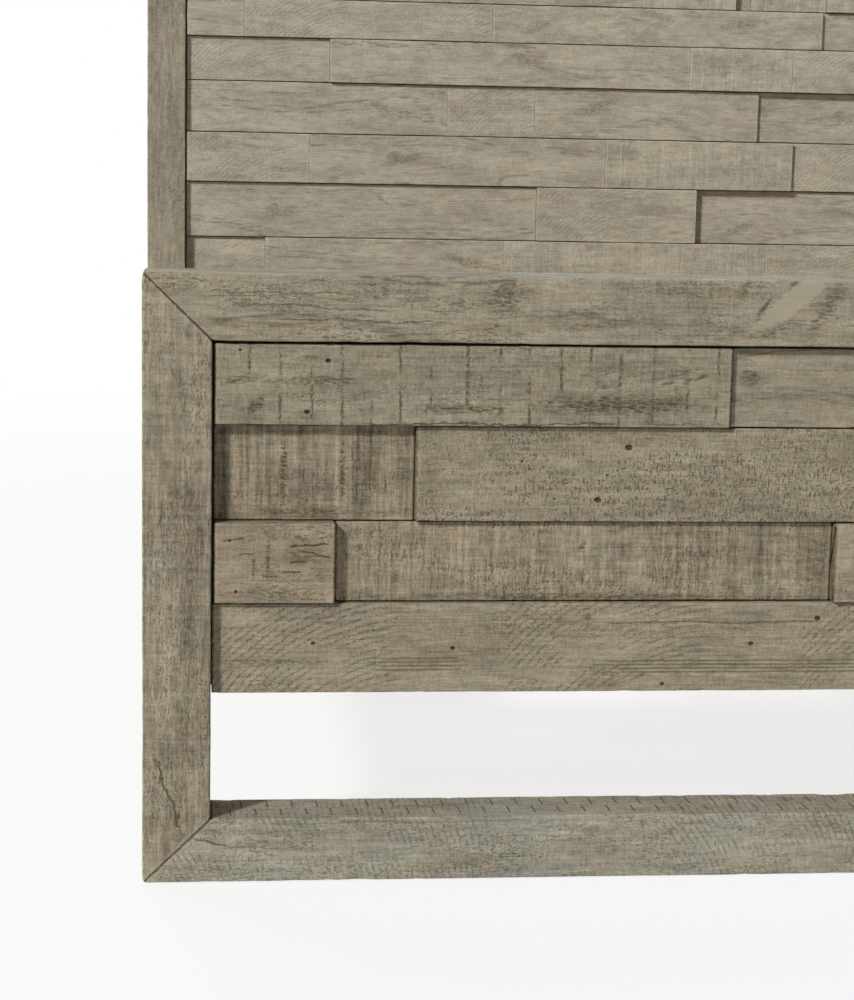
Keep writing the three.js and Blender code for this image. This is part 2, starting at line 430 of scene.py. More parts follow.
class SawPattern(Enum):
    """How the saw left a board's face."""

    NONE = "none"
    BANDS = "bands"
    ARCS = "arcs"
    LINES = "lines"


@dataclass(frozen=True)
class WeatheredPine(Finish):
    """Grey-beige reclaimed pine: fibre, saw marks, dark dashes, blotches and placed marks.

    Attributes:
        name: The material's name.
        tone: The wood's main colour, linear.
        fibre: Strength of the fine lines along the grain.
        weave: Strength of the fine lines across the grain.
        growth: Strength of the long dark growth lines.
        speck: Strength of the short dark dashes.
        speck_across: True where the dashes lie across the grain.
        speck_fill: Share of the face with dashes, 0 to 1.
        blotch: Strength of the dark glaze patches.
        cloud: Strength of the uneven paint, in patches of a thumb's width.
        cool: Strength of the bluish grey patches.
        top_pale_highlight: How far the upper side is mixed toward pale grey, a painted highlight of
            the light on the top.
        saw: The saw's pattern.
        saw_strength: How strongly that pattern shows.
        arc_centre: Middle of the saw's arcs, from the start of each group.
        arc_repeat: Length of a group of arcs.
        arc_pitch: Distance from arc to arc.
        holes: Nail holes, which are dark inside, with a painted highlight on one side of each rim.
        marks: Placed marks.
        ticks: True for rows of short ticks on the upper side.
    """

    name: str
    tone: Colour
    fibre: float = 0.26
    weave: float = 0.16
    growth: float = 0.40
    speck: float = 0.62
    speck_across: bool = False
    speck_fill: float = 0.5
    blotch: float = 0.34
    cloud: float = 0.9
    cool: float = 0.35
    top_pale_highlight: float = 0.0
    saw: SawPattern = SawPattern.NONE
    saw_strength: float = 0.3
    arc_centre: tuple[float, float] = (0.25, -0.17)
    arc_repeat: float = 0.34
    arc_pitch: float = 0.0076
    holes: tuple[Hole, ...] = ()
    marks: tuple[Mark, ...] = ()
    ticks: bool = False

    def _built(self) -> Material:
        """Return the material that the layers make."""
        return PineLayers(self).material()


class Scale:
    """How fine each noise on a weathered board is, in cycles a metre along, across and into it."""

    HUE = (24.0, 60.0, 60.0)
    CHILL = (9.0, 20.0, 20.0)
    RAGGED = (230.0, 230.0, 230.0)
    FIBRE = (20.0, 330.0, 330.0)
    WEAVE = (360.0, 62.0, 62.0)
    CLOUD = (40.0, 90.0, 90.0)
    BROAD = (6.0, 26.0, 26.0)
    GRIT = (420.0, 420.0, 420.0)
    WIDE_BAND = (42.0, 2.5, 2.5)
    NARROW_BAND = (170.0, 5.0, 5.0)
    RUBBED_AND_LIT = (60.0, 10.0, 10.0)
    DRIFT = (2.6, 9.0, 9.0)
    BREAKS = (38.0, 240.0, 240.0)
    PATCH = (10.0, 28.0, 28.0)
    DASH = (135.0, 520.0, 520.0)
    DASH_ACROSS = (520.0, 135.0, 135.0)
    PORE = (380.0, 620.0, 620.0)
    STAIN = (16.0, 46.0, 46.0)
    ARC_WOBBLE = (26.0, 60.0, 60.0)
    ARC_ZONE = (12.0, 34.0, 34.0)
    ARC_BREAKS = (330.0, 330.0, 330.0)
    KERF_WANDER = (9.0, 2.0, 1.0)
    KERF_SHAKE = (1.0, 160.0, 1.0)
    KERF_LENGTH = (31.0, 26.0, 26.0)
    KERF_BREAKS = (420.0, 230.0, 230.0)
    FRAY = (120.0, 260.0, 260.0)
    FLECK = (130.0, 420.0, 1.0)


class PineLayers:
    """The layers of one weathered pine material, as shares of dark glaze over a tone.

    Attributes:
        finish: The finish that is being made.
        shader: Its node tree.
        place: The board's own coordinates: along, across and into it.
        grain: The same, shifted, so that no two boards share their grain.
        TOP_HIGHLIGHT_BAND: Across the frame's stock, where the painted highlight on its upper side
            fades in.
        TICK_TOP: Across the stock, where the ticks on its upper side fade in.
        TICK_PITCH: Distance from tick to tick.
        TICK_REACH: Half a tick's length.
        TICK_ROWS: Each row's depth into the board, and its shift as a share of the pitch.
        KERF_FEED: Distance from one line of the saw to the next.
        FACE_DEPTH: Where the placed marks fade out, going into the board.
        GROOVE_PITCH: Distance from groove to groove, in millimetres.
    """

    TOP_HIGHLIGHT_BAND = (0.0728, 0.0738)
    TICK_TOP = (0.0712, 0.0724)
    TICK_PITCH = 0.0287
    TICK_REACH = 0.0135
    TICK_ROWS = ((0.0260, 0.0), (0.0550, 0.5))
    KERF_FEED = 0.0345
    FACE_DEPTH = (0.004, 0.008)
    GROOVE_PITCH = 4.3

    def __init__(self, finish: WeatheredPine) -> None:
        """Start the tree with the board's two sets of coordinates.

        Args:
            finish: The finish to make.
        """
        self.finish = finish
        self.shader = Shader(finish.name)
        self.grain = self.shader.attribute("grain")
        self.place = self.shader.attribute("place")

    def material(self) -> Material:
        """Lay the tone, its tints and the painted highlight on the upper side, the lightness, the
        glaze and the stained ends in turn.

        Returns:
            The finished material.
        """
        shader, finish, tone = self.shader, self.finish, self.finish.tone
        lightness, relief = self._fibres()
        dark = self._dark_layers()
        placed, pale_wood_and_highlight, red = self._placed()
        dark = dark.greatest(placed)
        # Scars' bare wood and the holes' painted highlight lighten the colour here.
        lightness = lightness * (1.0 - pale_wood_and_highlight * 0.75) + pale_wood_and_highlight * 0.95
        dark = dark * (1.0 - pale_wood_and_highlight * 0.8)

        hue = self._noise(Scale.HUE, 3.0, 0.6).rise(0.40, 0.60)
        colour = shader.mix(hue, scaled(tone, 0.972, 1.0, 0.985), scaled(tone, 1.030, 0.995, 0.970))
        chill = self._noise(Scale.CHILL, 3.0, 0.6).rise(0.50, 0.66)
        colour = shader.mix(chill * finish.cool, colour, scaled(tone, 0.93, 1.0, 1.09))
        # Painted highlight: the upper side is mixed toward a pale grey for the light that falls on
        # it from above.
        if finish.top_pale_highlight:
            upper = shader.part(self.place, 1).rise(*self.TOP_HIGHLIGHT_BAND) * finish.top_pale_highlight
            colour = shader.mix(upper, colour, linear(162, 160, 147))
        colour = shader.shade(colour, lightness)
        colour = shader.mix(dark, colour, scaled(tone, 0.210, 0.185, 0.125))
        colour = shader.mix(red, colour, linear(86, 69, 53))
        colour = self._stained_ends(colour)
        height = relief - dark * 0.5 + pale_wood_and_highlight * 0.1
        return shader.surface(colour, 0.78 + dark * 0.12, height, bump=0.9, specular=0.25)

    def _noise(self, scale: Vector, detail: float = 2.0, roughness: float = 0.5) -> Signal:
        """Return noise about 0.5 that follows the grain."""
        return self.shader.noise(self.grain, scale, detail, roughness)

    def _stained_ends(self, colour: Socket) -> Socket:
        """Darken the end cuts to umber behind a worn, paler fringe, both with ragged edges.

        Args:
            colour: The colour so far.

        Returns:
            The colour with its ends stained.
        """
        shader, tone = self.shader, self.finish.tone
        ragged = self._noise(Scale.RAGGED, 3.0, 0.75) - 0.5
        level = shader.level("end")
        fringe = (level * (1.0 + ragged * 3.0)).rise(0.03, 0.22) * level.fall(0.35, 0.70)
        colour = shader.mix(fringe * 0.30, colour, scaled(tone, 1.5))
        end = (level + ragged * 2.4).rise(0.40, 1.05)
        return shader.mix(end * 0.8, colour, scaled(tone, 0.34, 0.28, 0.20))

    def _fibres(self) -> tuple[Signal, Signal]:
        """Fine lines along and across the grain, worn arrises with a painted highlight along them,
        and what the saw left.

        Returns:
            The colour's scale about 1, and the relief in millimetres.
        """
        finish = self.finish
        along = self._noise(Scale.FIBRE, 4.0, 0.65) - 0.5
        across = self._noise(Scale.WEAVE, 3.0, 0.62) - 0.5
        cloud = self._noise(Scale.CLOUD, 3.0, 0.65) - 0.5
        broad = self._noise(Scale.BROAD) - 0.5
        grit = self._noise(Scale.GRIT, 2.0, 0.7) - 0.5
        lightness = 1.0 + along * (4.2 * finish.fibre) + across * (4.2 * finish.weave)
        lightness = lightness + cloud * finish.cloud + broad * 0.7 + grit * 0.75
        relief = along * 0.7 + across * (2.0 * finish.weave) + grit * 0.35
        if finish.saw is SawPattern.BANDS:
            wide = self._noise(Scale.WIDE_BAND, 2.0, 0.6) - 0.5
            narrow = self._noise(Scale.NARROW_BAND, 3.0, 0.7) - 0.5
            lightness = lightness + wide * (1.9 * finish.saw_strength)
            lightness = lightness + narrow * (3.3 * finish.saw_strength)
            relief = relief + narrow * 0.9 + wide * 0.6
        # Painted highlight along the arrises: each arris is made paler, partly for its real wear and
        # partly for the light it catches.
        rubbed_and_lit = self._noise(Scale.RUBBED_AND_LIT).rise(0.38, 0.60)
        lightness = lightness + self.shader.level("wear_and_highlight") * (rubbed_and_lit * 0.34 + 0.06)
        return lightness.greatest(0.25), relief

    def _dark_layers(self) -> Signal:
        """Growth lines, dashes, blotches and saw lines as one share of dark glaze.

        Returns:
            The share of glaze, 0 to 1.
        """
        finish = self.finish
        drift = self._noise(Scale.DRIFT, 1.0)
        breaks = self._noise(Scale.BREAKS, 3.0, 0.6)
        across = self.shader.part(self.grain, 1)
        ring = (across * 62.0 + drift * 9.0).sine() * (across * 23.0 + drift * 6.0).sine()
        lines = ring.size().fall(0.0, 0.12) * breaks.rise(0.44, 0.58) * finish.growth

        low = 0.64 - 0.20 * finish.speck_fill
        where = self._noise(Scale.PATCH, 3.0, 0.6).rise(low - 0.09, low + 0.09)
        scale = Scale.DASH_ACROSS if finish.speck_across else Scale.DASH
        dashes = self._noise(scale, 2.0, 0.6).rise(0.565, 0.645)
        pores = self._noise(Scale.PORE, 1.0).rise(0.61, 0.68)
        dashes = dashes * (where * 0.85 + 0.15) * finish.speck
        dashes = dashes.greatest(pores * (where * 0.6 + 0.4) * finish.speck)

        blotches = self._noise(Scale.STAIN, 5.0, 0.7).rise(0.52, 0.74) * finish.blotch
        dark = lines.greatest(dashes).greatest(blotches)
        if finish.saw is SawPattern.ARCS:
            dark = dark.greatest(self._arcs())
        if finish.saw is SawPattern.LINES:
            dark = dark.greatest(self._kerfs())
        if finish.ticks:
            dark = dark.greatest(self._ticks())
        return dark

    def _arcs(self) -> Signal:
        """Saw arcs: rings about a centre below the board, in groups along it.

        Returns:
            The share of glaze in the arcs.
        """
        finish, repeat = self.finish, self.finish.arc_repeat
        group = (self.shader.part(self.place, 0) / repeat + 0.04).fraction() * repeat
        along = group - finish.arc_centre[0]
        across = self.shader.part(self.place, 1) - finish.arc_centre[1]
        radius = (along * along + across * across).root()
        wobble = self._noise(Scale.ARC_WOBBLE, 2.0, 0.6) * 6.0
        ring = (radius * (2 * math.pi / finish.arc_pitch) + wobble).sine().rise(0.1, 0.9)
        zone = self._noise(Scale.ARC_ZONE).rise(0.40, 0.54)
        zone = zone * group.fall(0.60 * repeat, 0.72 * repeat)
        broken = self._noise(Scale.ARC_BREAKS, 2.0, 0.7).rise(0.40, 0.58)
        return ring * zone * broken * finish.saw_strength

    def _kerfs(self) -> Signal:
        """Thin dark lines straight across the grain, about one feed of the saw apart.

        Returns:
            The share of glaze in the lines.
        """
        along = self.shader.part(self.place, 0)
        wander = self._noise(Scale.KERF_WANDER, 1.0) * 0.9
        shake = self._noise(Scale.KERF_SHAKE) * 0.06
        phase = ((along + MM) / self.KERF_FEED + wander + shake).fraction()
        line = (phase - 0.5).size().fall(0.018, 0.085)
        length = self._noise(Scale.KERF_LENGTH, 2.0, 0.6).rise(0.42, 0.56)
        broken = self._noise(Scale.KERF_BREAKS, 2.0, 0.7).rise(0.36, 0.56)
        return line * length * broken * self.finish.saw_strength

    def _ticks(self) -> Signal:
        """Two staggered rows of short ticks on the upper side, from the moulder's rollers.

        Returns:
            The share of glaze in the ticks.
        """
        upper = self.shader.part(self.place, 1).rise(*self.TICK_TOP)
        depth = self.shader.part(self.place, 2)
        along = self.shader.part(self.place, 0) + depth * 0.05
        rows = []
        for row, (middle, shift) in enumerate(self.TICK_ROWS):
            wander = self._noise((35.0 + row, 1.0, 1.0), 1.0) * 0.12
            phase = (along / self.TICK_PITCH + shift + wander).fraction()
            line = (phase - 0.5).size().fall(0.016, 0.050)
            short = (depth - middle).size().fall(self.TICK_REACH * 0.8, self.TICK_REACH * 1.05)
            rows.append(line * short)
        return rows[0].greatest(rows[1]) * upper * 0.85

    def _placed(self) -> tuple[Signal, Signal, Signal]:
        """The nail holes and placed marks on the face.

        Returns:
            The share of dark glaze, of pale bare wood with the painted highlight on the holes' rims,
            and of reddish knot.
        """
        shader = self.shader
        nothing = shader.level("end") * 0.0
        dark, pale_wood_and_highlight, red = nothing, nothing, nothing
        if not (self.finish.holes or self.finish.marks):
            return dark, pale_wood_and_highlight, red
        near = shader.part(self.place, 2).fall(*self.FACE_DEPTH)
        flat = shader.vector_math("MULTIPLY", self.place, (1.0, 1.0, 0.0))[0]
        fray = self._noise(Scale.FRAY) - 0.5
        for hole in self.finish.holes:
            centre = (hole.along * MM, hole.across * MM, 0.0)
            away = shader.vector_math("SUBTRACT", flat, centre)[0]
            along, across = shader.part(away, 0), shader.part(away, 1)
            distance = (along * along * 0.55 + across * across).root() / (hole.radius * MM)
            dark = dark.greatest((distance + fray * 0.5).fall(0.70, 1.10) * 0.97)
            # Painted highlight: a pale crescent on one side of each rim, where the light falls into
            # the hole.
            ring = distance.rise(0.95, 1.15) * distance.fall(1.25, 1.60)
            side = (along / (hole.radius * MM)).rise(0.1, 0.9)
            pale_wood_and_highlight = pale_wood_and_highlight.greatest(ring * side * 0.8)
        for mark in self.finish.marks:
            share = self._mark_share(flat, fray, mark)
            if mark.kind is SCAR:
                pale_wood_and_highlight = pale_wood_and_highlight.greatest(share)
                dark = dark.greatest((share * 6.0).fall(0.7, 1.0) * share * 3.0)
            elif mark.kind is SMEAR:
                red = red.greatest(share)
            else:
                dark = dark.greatest(share)
        return dark * near, pale_wood_and_highlight * near, red * near

    def _mark_share(self, flat: Socket, fray: Signal, mark: Mark) -> Signal:
        """How much of a mark lies at a point: an ellipse or a tapered line, frayed by noise.

        Args:
            flat: The board's own coordinates, without depth.
            fray: Noise about 0.
            mark: The mark.

        Returns:
            Its share, 0 to its strength.
        """
        shader = self.shader
        angle = math.radians(mark.turn)
        cosine, sine = math.cos(angle), math.sin(angle)
        centre = (mark.along * MM, mark.across * MM, 0.0)
        away = shader.vector_math("SUBTRACT", flat, centre)[0]
        dots = [
            Signal(shader, shader.vector_math("DOT_PRODUCT", away, way)["Value"])
            for way in ((cosine, sine, 0.0), (-sine, cosine, 0.0))
        ]
        lengthways = dots[0] / (mark.length * MM / 2)
        sideways = dots[1] / (mark.width * MM / 2)
        if mark.kind is CRACK:
            wave = min(1.2, mark.length / 90)
            bend = (lengthways * 7.0).sine() * wave + fray * (5.0 * wave + 1.5)
            line = (sideways + bend).size().fall(0.5, 1.3)
            return line * lengthways.size().fall(0.75, 1.0) * mark.strength
        if mark.kind is GROOVES:
            rows = (sideways * (mark.width / 2 / self.GROOVE_PITCH) + fray * 0.5).fraction()
            inside = sideways.size().fall(0.9, 1.0) * (lengthways.size() + fray).fall(0.8, 1.1)
            return (rows - 0.5).size().fall(0.10, 0.30) * inside * mark.strength
        distance = (lengthways * lengthways + sideways * sideways).root()
        if mark.kind is STREAK:
            soft = (distance + fray * 1.6).fall(0.20, 1.20)
            flecks = shader.noise(flat, Scale.FLECK, 3.0, 0.7).rise(0.42, 0.58)
            return soft * (flecks * 0.85 + 0.15) * mark.strength
        if mark.kind is KNOT:
            rings = (distance * 15.0 + fray * 5.0).sine() * 0.5 + 0.5
            body = (distance + fray * 1.1).fall(0.35, 1.0)
            return body * (rings * 0.45 + 0.55) * mark.strength
        if mark.kind is SMEAR:
            return (distance + fray * 1.6).fall(0.35, 1.10) * mark.strength
        return (distance + fray * 0.8).fall(0.84, 1.0) * mark.strength


@dataclass(frozen=True)
class PlainPine(Finish):
    """Planed, unfinished pine: pale, with brown growth lines along the grain.

    Attributes:
        name: The material's name.
        tone: The wood's colour between its growth lines, linear.
        lines: The growth lines' colour, linear.
        upright: True where the grain runs up and is read from the object's own place.
    """

    name: str
    tone: Colour
    lines: Colour
    upright: bool = False

    def _built(self) -> Material:
        """Build rings about a pith that wanders along the board, with fine fibre over them.

        Returns:
            The material.
        """
        shader = Shader(self.name)
        grain = shader.attribute("grain")
        if self.upright:
            place = shader.own_place()
            parts = {number: shader.part(place, axis) for number, axis in enumerate((2, 1, 0))}
            grain = shader.node("ShaderNodeCombineXYZ", {}, parts).outputs[0]
        drift = shader.noise(grain, (1.6, 8.0, 8.0), 1.0)
        across, inward = shader.part(grain, 1), shader.part(grain, 2) + 0.05
        pith = (across * across + inward * inward).root()
        ring = (pith * 900.0 + drift * 16.0).sine() * 0.5 + 0.5
        fibre = shader.noise(grain, (12.0, 700.0, 700.0), 3.0, 0.6) - 0.5
        colour = shader.mix(ring.rise(0.55, 1.0) * 0.65, self.tone, self.lines)
        colour = shader.shade(colour, 1.0 + fibre * 0.22)
        if not self.upright:
            colour = shader.mix(shader.level("end") * 0.35, colour, scaled(self.lines, 0.6))
        return shader.surface(colour, 0.62, fibre * 0.3 - ring * 0.05, bump=0.6, specular=0.35)


@dataclass(frozen=True)
class Plywood(Finish):
    """A rotary-cut face veneer: broad, wandering, faint growth bands, with ply edges.

    Attributes:
        name: The material's name.
        tone: The veneer's colour between its bands, linear.
        lines: The bands' colour, linear.
    """

    name: str
    tone: Colour
    lines: Colour

    def _built(self) -> Material:
        """Build contour lines of a slow noise for the veneer, and stripes by depth at edges.

        Returns:
            The material.
        """
        shader = Shader(self.name)
        grain = shader.attribute("grain")
        slow = shader.noise(grain, (1.1, 5.0, 1.0), 2.0, 0.45)
        contour = (slow * 95.0).sine() * 0.5 + 0.5
        fibre = shader.noise(grain, (18.0, 420.0, 1.0), 3.0, 0.6) - 0.5
        vessels = shader.noise(grain, (60.0, 900.0, 1.0), 2.0, 0.6).rise(0.58, 0.70)
        plies = (shader.part(shader.attribute("place"), 2) * 2600.0).sine() * 0.5 + 0.5
        colour = shader.mix(contour.rise(0.55, 1.0) * 0.34, self.tone, self.lines)
        colour = shader.shade(colour, 1.0 + fibre * 0.45 - vessels * 0.22)
        edge = shader.mix(plies, self.tone, scaled(self.lines, 0.5))
        colour = shader.mix(shader.level("end"), colour, edge)
        return shader.surface(colour, 0.7, fibre * 0.2, bump=0.5, specular=0.3)


@dataclass(frozen=True)
class PlatedSteel(Finish):
    """Zinc-plated steel: grey metal with faint mottling and fine brushing.

    Attributes:
        name: The material's name.
        tone: The metal's colour, linear.
        roughness: Its mean roughness.
    """

    name: str
    tone: Colour
    roughness: float

    def _built(self) -> Material:
        """Build mottled colour and roughness from two noises.

        Returns:
            The material.
        """
        shader = Shader(self.name)
        place = shader.own_place()
        mottle = shader.noise(place, (220.0, 220.0, 220.0), 3.0) - 0.5
        brush = shader.noise(place, (120.0, 120.0, 2400.0)) - 0.5
        colour = shader.shade(self.tone, 1.0 + mottle * 0.3)
        roughness = self.roughness + mottle * 0.25 + brush * 0.15
        return shader.surface(colour, roughness, brush * 0.05, bump=0.5, metallic=1.0)


# ---- meshes


def make_piece(
    name: str,
    points: np.ndarray,
    faces: Sequence[Sequence[int]],
    flat_faces: Iterable[int] = (),
    attributes: dict[str, np.ndarray] | None = None,
    crease: float = 180.0,
) -> Piece:
    """Put points and faces into a new object at the origin.

    Args:
        name: The object's name.
        points: Points in metres, one to a row.
        faces: Point numbers of each face, turning left seen from outside.
        flat_faces: Numbers of the faces that aren't shaded smooth.
        attributes: By name, a number or a vector for each point.
        crease: Degrees between faces above which their edge is shaded sharp.

    Returns:
        The object.
    """
    mesh = bpy.data.meshes.new(name)
    mesh.from_pydata(points.tolist(), [], faces)
    smooth = np.ones(len(mesh.polygons), bool)
    smooth[list(flat_faces)] = False
    mesh.polygons.foreach_set("use_smooth", smooth)
    for key, values in (attributes or {}).items():
        kind, slot = ("FLOAT", "value") if values.ndim == 1 else ("FLOAT_VECTOR", "vector")
        layer = mesh.attributes.new(key, kind, "POINT")
        layer.data.foreach_set(slot, values.astype(np.float32).ravel())
    mesh.validate()
    mesh.update()
    if crease < 180.0:
        mesh.set_sharp_from_angle(angle=math.radians(crease))
    made = bpy.data.objects.new(name, mesh)
    bpy.context.scene.collection.objects.link(made)
    return made


def tube_faces(rings: int, around: int, base: int = 0) -> list[list[int]]:
    """Join closed rings of points, laid ring after ring, and close both ends.

    Args:
        rings: How many rings there are.
        around: How many points a ring has.
        base: The first ring's first point number.

    Returns:
        Quads between neighbouring rings, then a face over the first ring and one over the last.
    """
    ring = np.arange(rings - 1)[:, None] * around + base
    spot = np.arange(around)[None, :]
    after = (spot + 1) % around
    corners = (ring + spot, ring + after, ring + around + after, ring + around + spot)
    quads = np.stack(corners, axis=-1).reshape(-1, 4).tolist()
    first, last = range(base, base + around), base + (rings - 1) * around
    return [*quads, list(first)[::-1], list(range(last, last + around))]


def use_material(piece: Piece, material: Material) -> None:
    """Make a material the piece's only one."""
    piece.data.materials.clear()
    piece.data.materials.append(material)


def dressed(
    piece: Piece, finish: Finish, nodes: Iterable[str] = (), body: str = BODY
) -> Piece:
    """Give a piece its material and body, and hide the nodes it stands for.

    Args:
        piece: The object.
        finish: Its finish.
        nodes: The nodes that it replaces.
        body: The body it rides on.

    Returns:
        The same object.
    """
    use_material(piece, finish.material())
    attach(piece, body)
    if nodes:
        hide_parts(*nodes)
    return piece


def eased(solid: Piece, finish: Finish, width: float) -> None:
    """Finish one of the frame's own solids and round its sharp edges.

    Args:
        solid: The solid.
        finish: Its finish.
        width: The width of the bevel along its edges.
    """
    use_material(solid, finish.material())
    bevel = solid.modifiers.new("eased_edges", "BEVEL")
    bevel.width = width
    bevel.segments = 2
    bevel.limit_method = "ANGLE"
    bevel.angle_limit = math.radians(40)


# ---- boards

# The length and width of a dip and of a ripple in a face, then the length of an edge's
# stray, of a nick and of a chip.
DIP = (0.11, 0.05)
RIPPLE = (0.013, 0.06)
STRAY = 0.17
NICK = 0.021
CHIP = 0.006


@dataclass(frozen=True)
class Lie:
    """How a board lies: the directions along, across and into it from its front face."""

    along: Vector
    across: Vector
    inward: Vector

    def axes(self) -> np.ndarray:
        """Return the three directions as rows."""
        return np.array((self.along, self.across, self.inward))

    def right_handed(self) -> bool:
        """Return whether the three directions form a right-handed set."""
        return bool(np.linalg.det(self.axes()) > 0)


LIE_RAIL = Lie((1, 0, 0), (0, 0, 1), (0, 1, 0))
LIE_POST = Lie((0, 0, 1), (1, 0, 0), (0, 1, 0))
LIE_SIDE_LEFT = Lie((0, 1, 0), (0, 0, 1), (1, 0, 0))
LIE_SIDE_RIGHT = Lie((0, 1, 0), (0, 0, 1), (-1, 0, 0))
LIE_SLAT = Lie((1, 0, 0), (0, 1, 0), (0, 0, -1))


@dataclass(frozen=True)
class Span:
    """A board's extent in its own directions, in metres.

    Attributes:
        start: Where its end cut starts along it, at the low and the high edge.
        stop: Where it stops, at the low and the high edge.
        across: The low and the high edge.
        inward: The front and the back face.
    """

    start: tuple[float, float]
    stop: tuple[float, float]
    across: tuple[float, float]
    inward: tuple[float, float]

    def swollen(self, along: float, across: float) -> "Span":
        """Grow the span at both ends and at both edges.

        Args:
            along: How far it grows at each end.
            across: How far it grows at each edge.

        Returns:
            The larger span.
        """
        return Span(
            (self.start[0] - along, self.start[1] - along),
            (self.stop[0] + along, self.stop[1] + along),
            (self.across[0] - across, self.across[1] + across),
            self.inward,
        )


def node_points(node: str) -> np.ndarray:
    """Read the points of a node's mesh.

    Args:
        node: The node.

    Returns:
        The points in metres, one to a row.
    """
    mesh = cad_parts[node].data
    flat = np.empty(len(mesh.vertices) * 3, np.float32)
    mesh.vertices.foreach_get("co", flat)
    return flat.reshape(-1, 3).astype(float)


def span_of(node: str, lie: Lie) -> Span:
    """Measure a node as a board, whose ends may be mitred.

    Args:
        node: The node.
        lie: How its board lies.

    Returns:
        Its extents. The ends are read at the low and at the high edge.
    """
    along, across, inward = (node_points(node) @ lie.axes().T).T
    near = 0.0004
    low, high = across.min(), across.max()
    at_low, at_high = along[across < low + near], along[across > high - near]
    return Span(
        (at_low.min(), at_high.min()),
        (at_low.max(), at_high.max()),
        (low, high),
        (inward.min(), inward.max()),
    )


def low_corner(node: str) -> np.ndarray:
    """Return a node's lowest corner, in metres."""
    return np.array(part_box(node)[0])


def high_corner(node: str) -> np.ndarray:
    """Return a node's highest corner, in metres."""
    return np.array(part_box(node)[1])


@dataclass(frozen=True)
class SoftCorners:
    """The worn outer corners of an upright frame, rounded in the plane of X and Z."""

    low: tuple[float, float]
    high: tuple[float, float]
    radius: float = 0.008

    def applied(self, points: np.ndarray) -> np.ndarray:
        """Draw points past a corner's circle on to it, along the circle's radius.

        Args:
            points: Points in metres, one to a row.

        Returns:
            The points, those outside a corner's circle moved on to it.
        """
        flat = points[:, [0, 2]]
        low, high = np.array(self.low) + self.radius, np.array(self.high) - self.radius
        past = flat - np.clip(flat, low, high)
        length = np.hypot(past[:, 0], past[:, 1])
        scale = np.where(length > self.radius, self.radius / np.maximum(length, 1e-9), 1.0)
        moved = points.copy()
        moved[:, [0, 2]] = flat + past * (scale - 1.0)[:, None]
        return moved


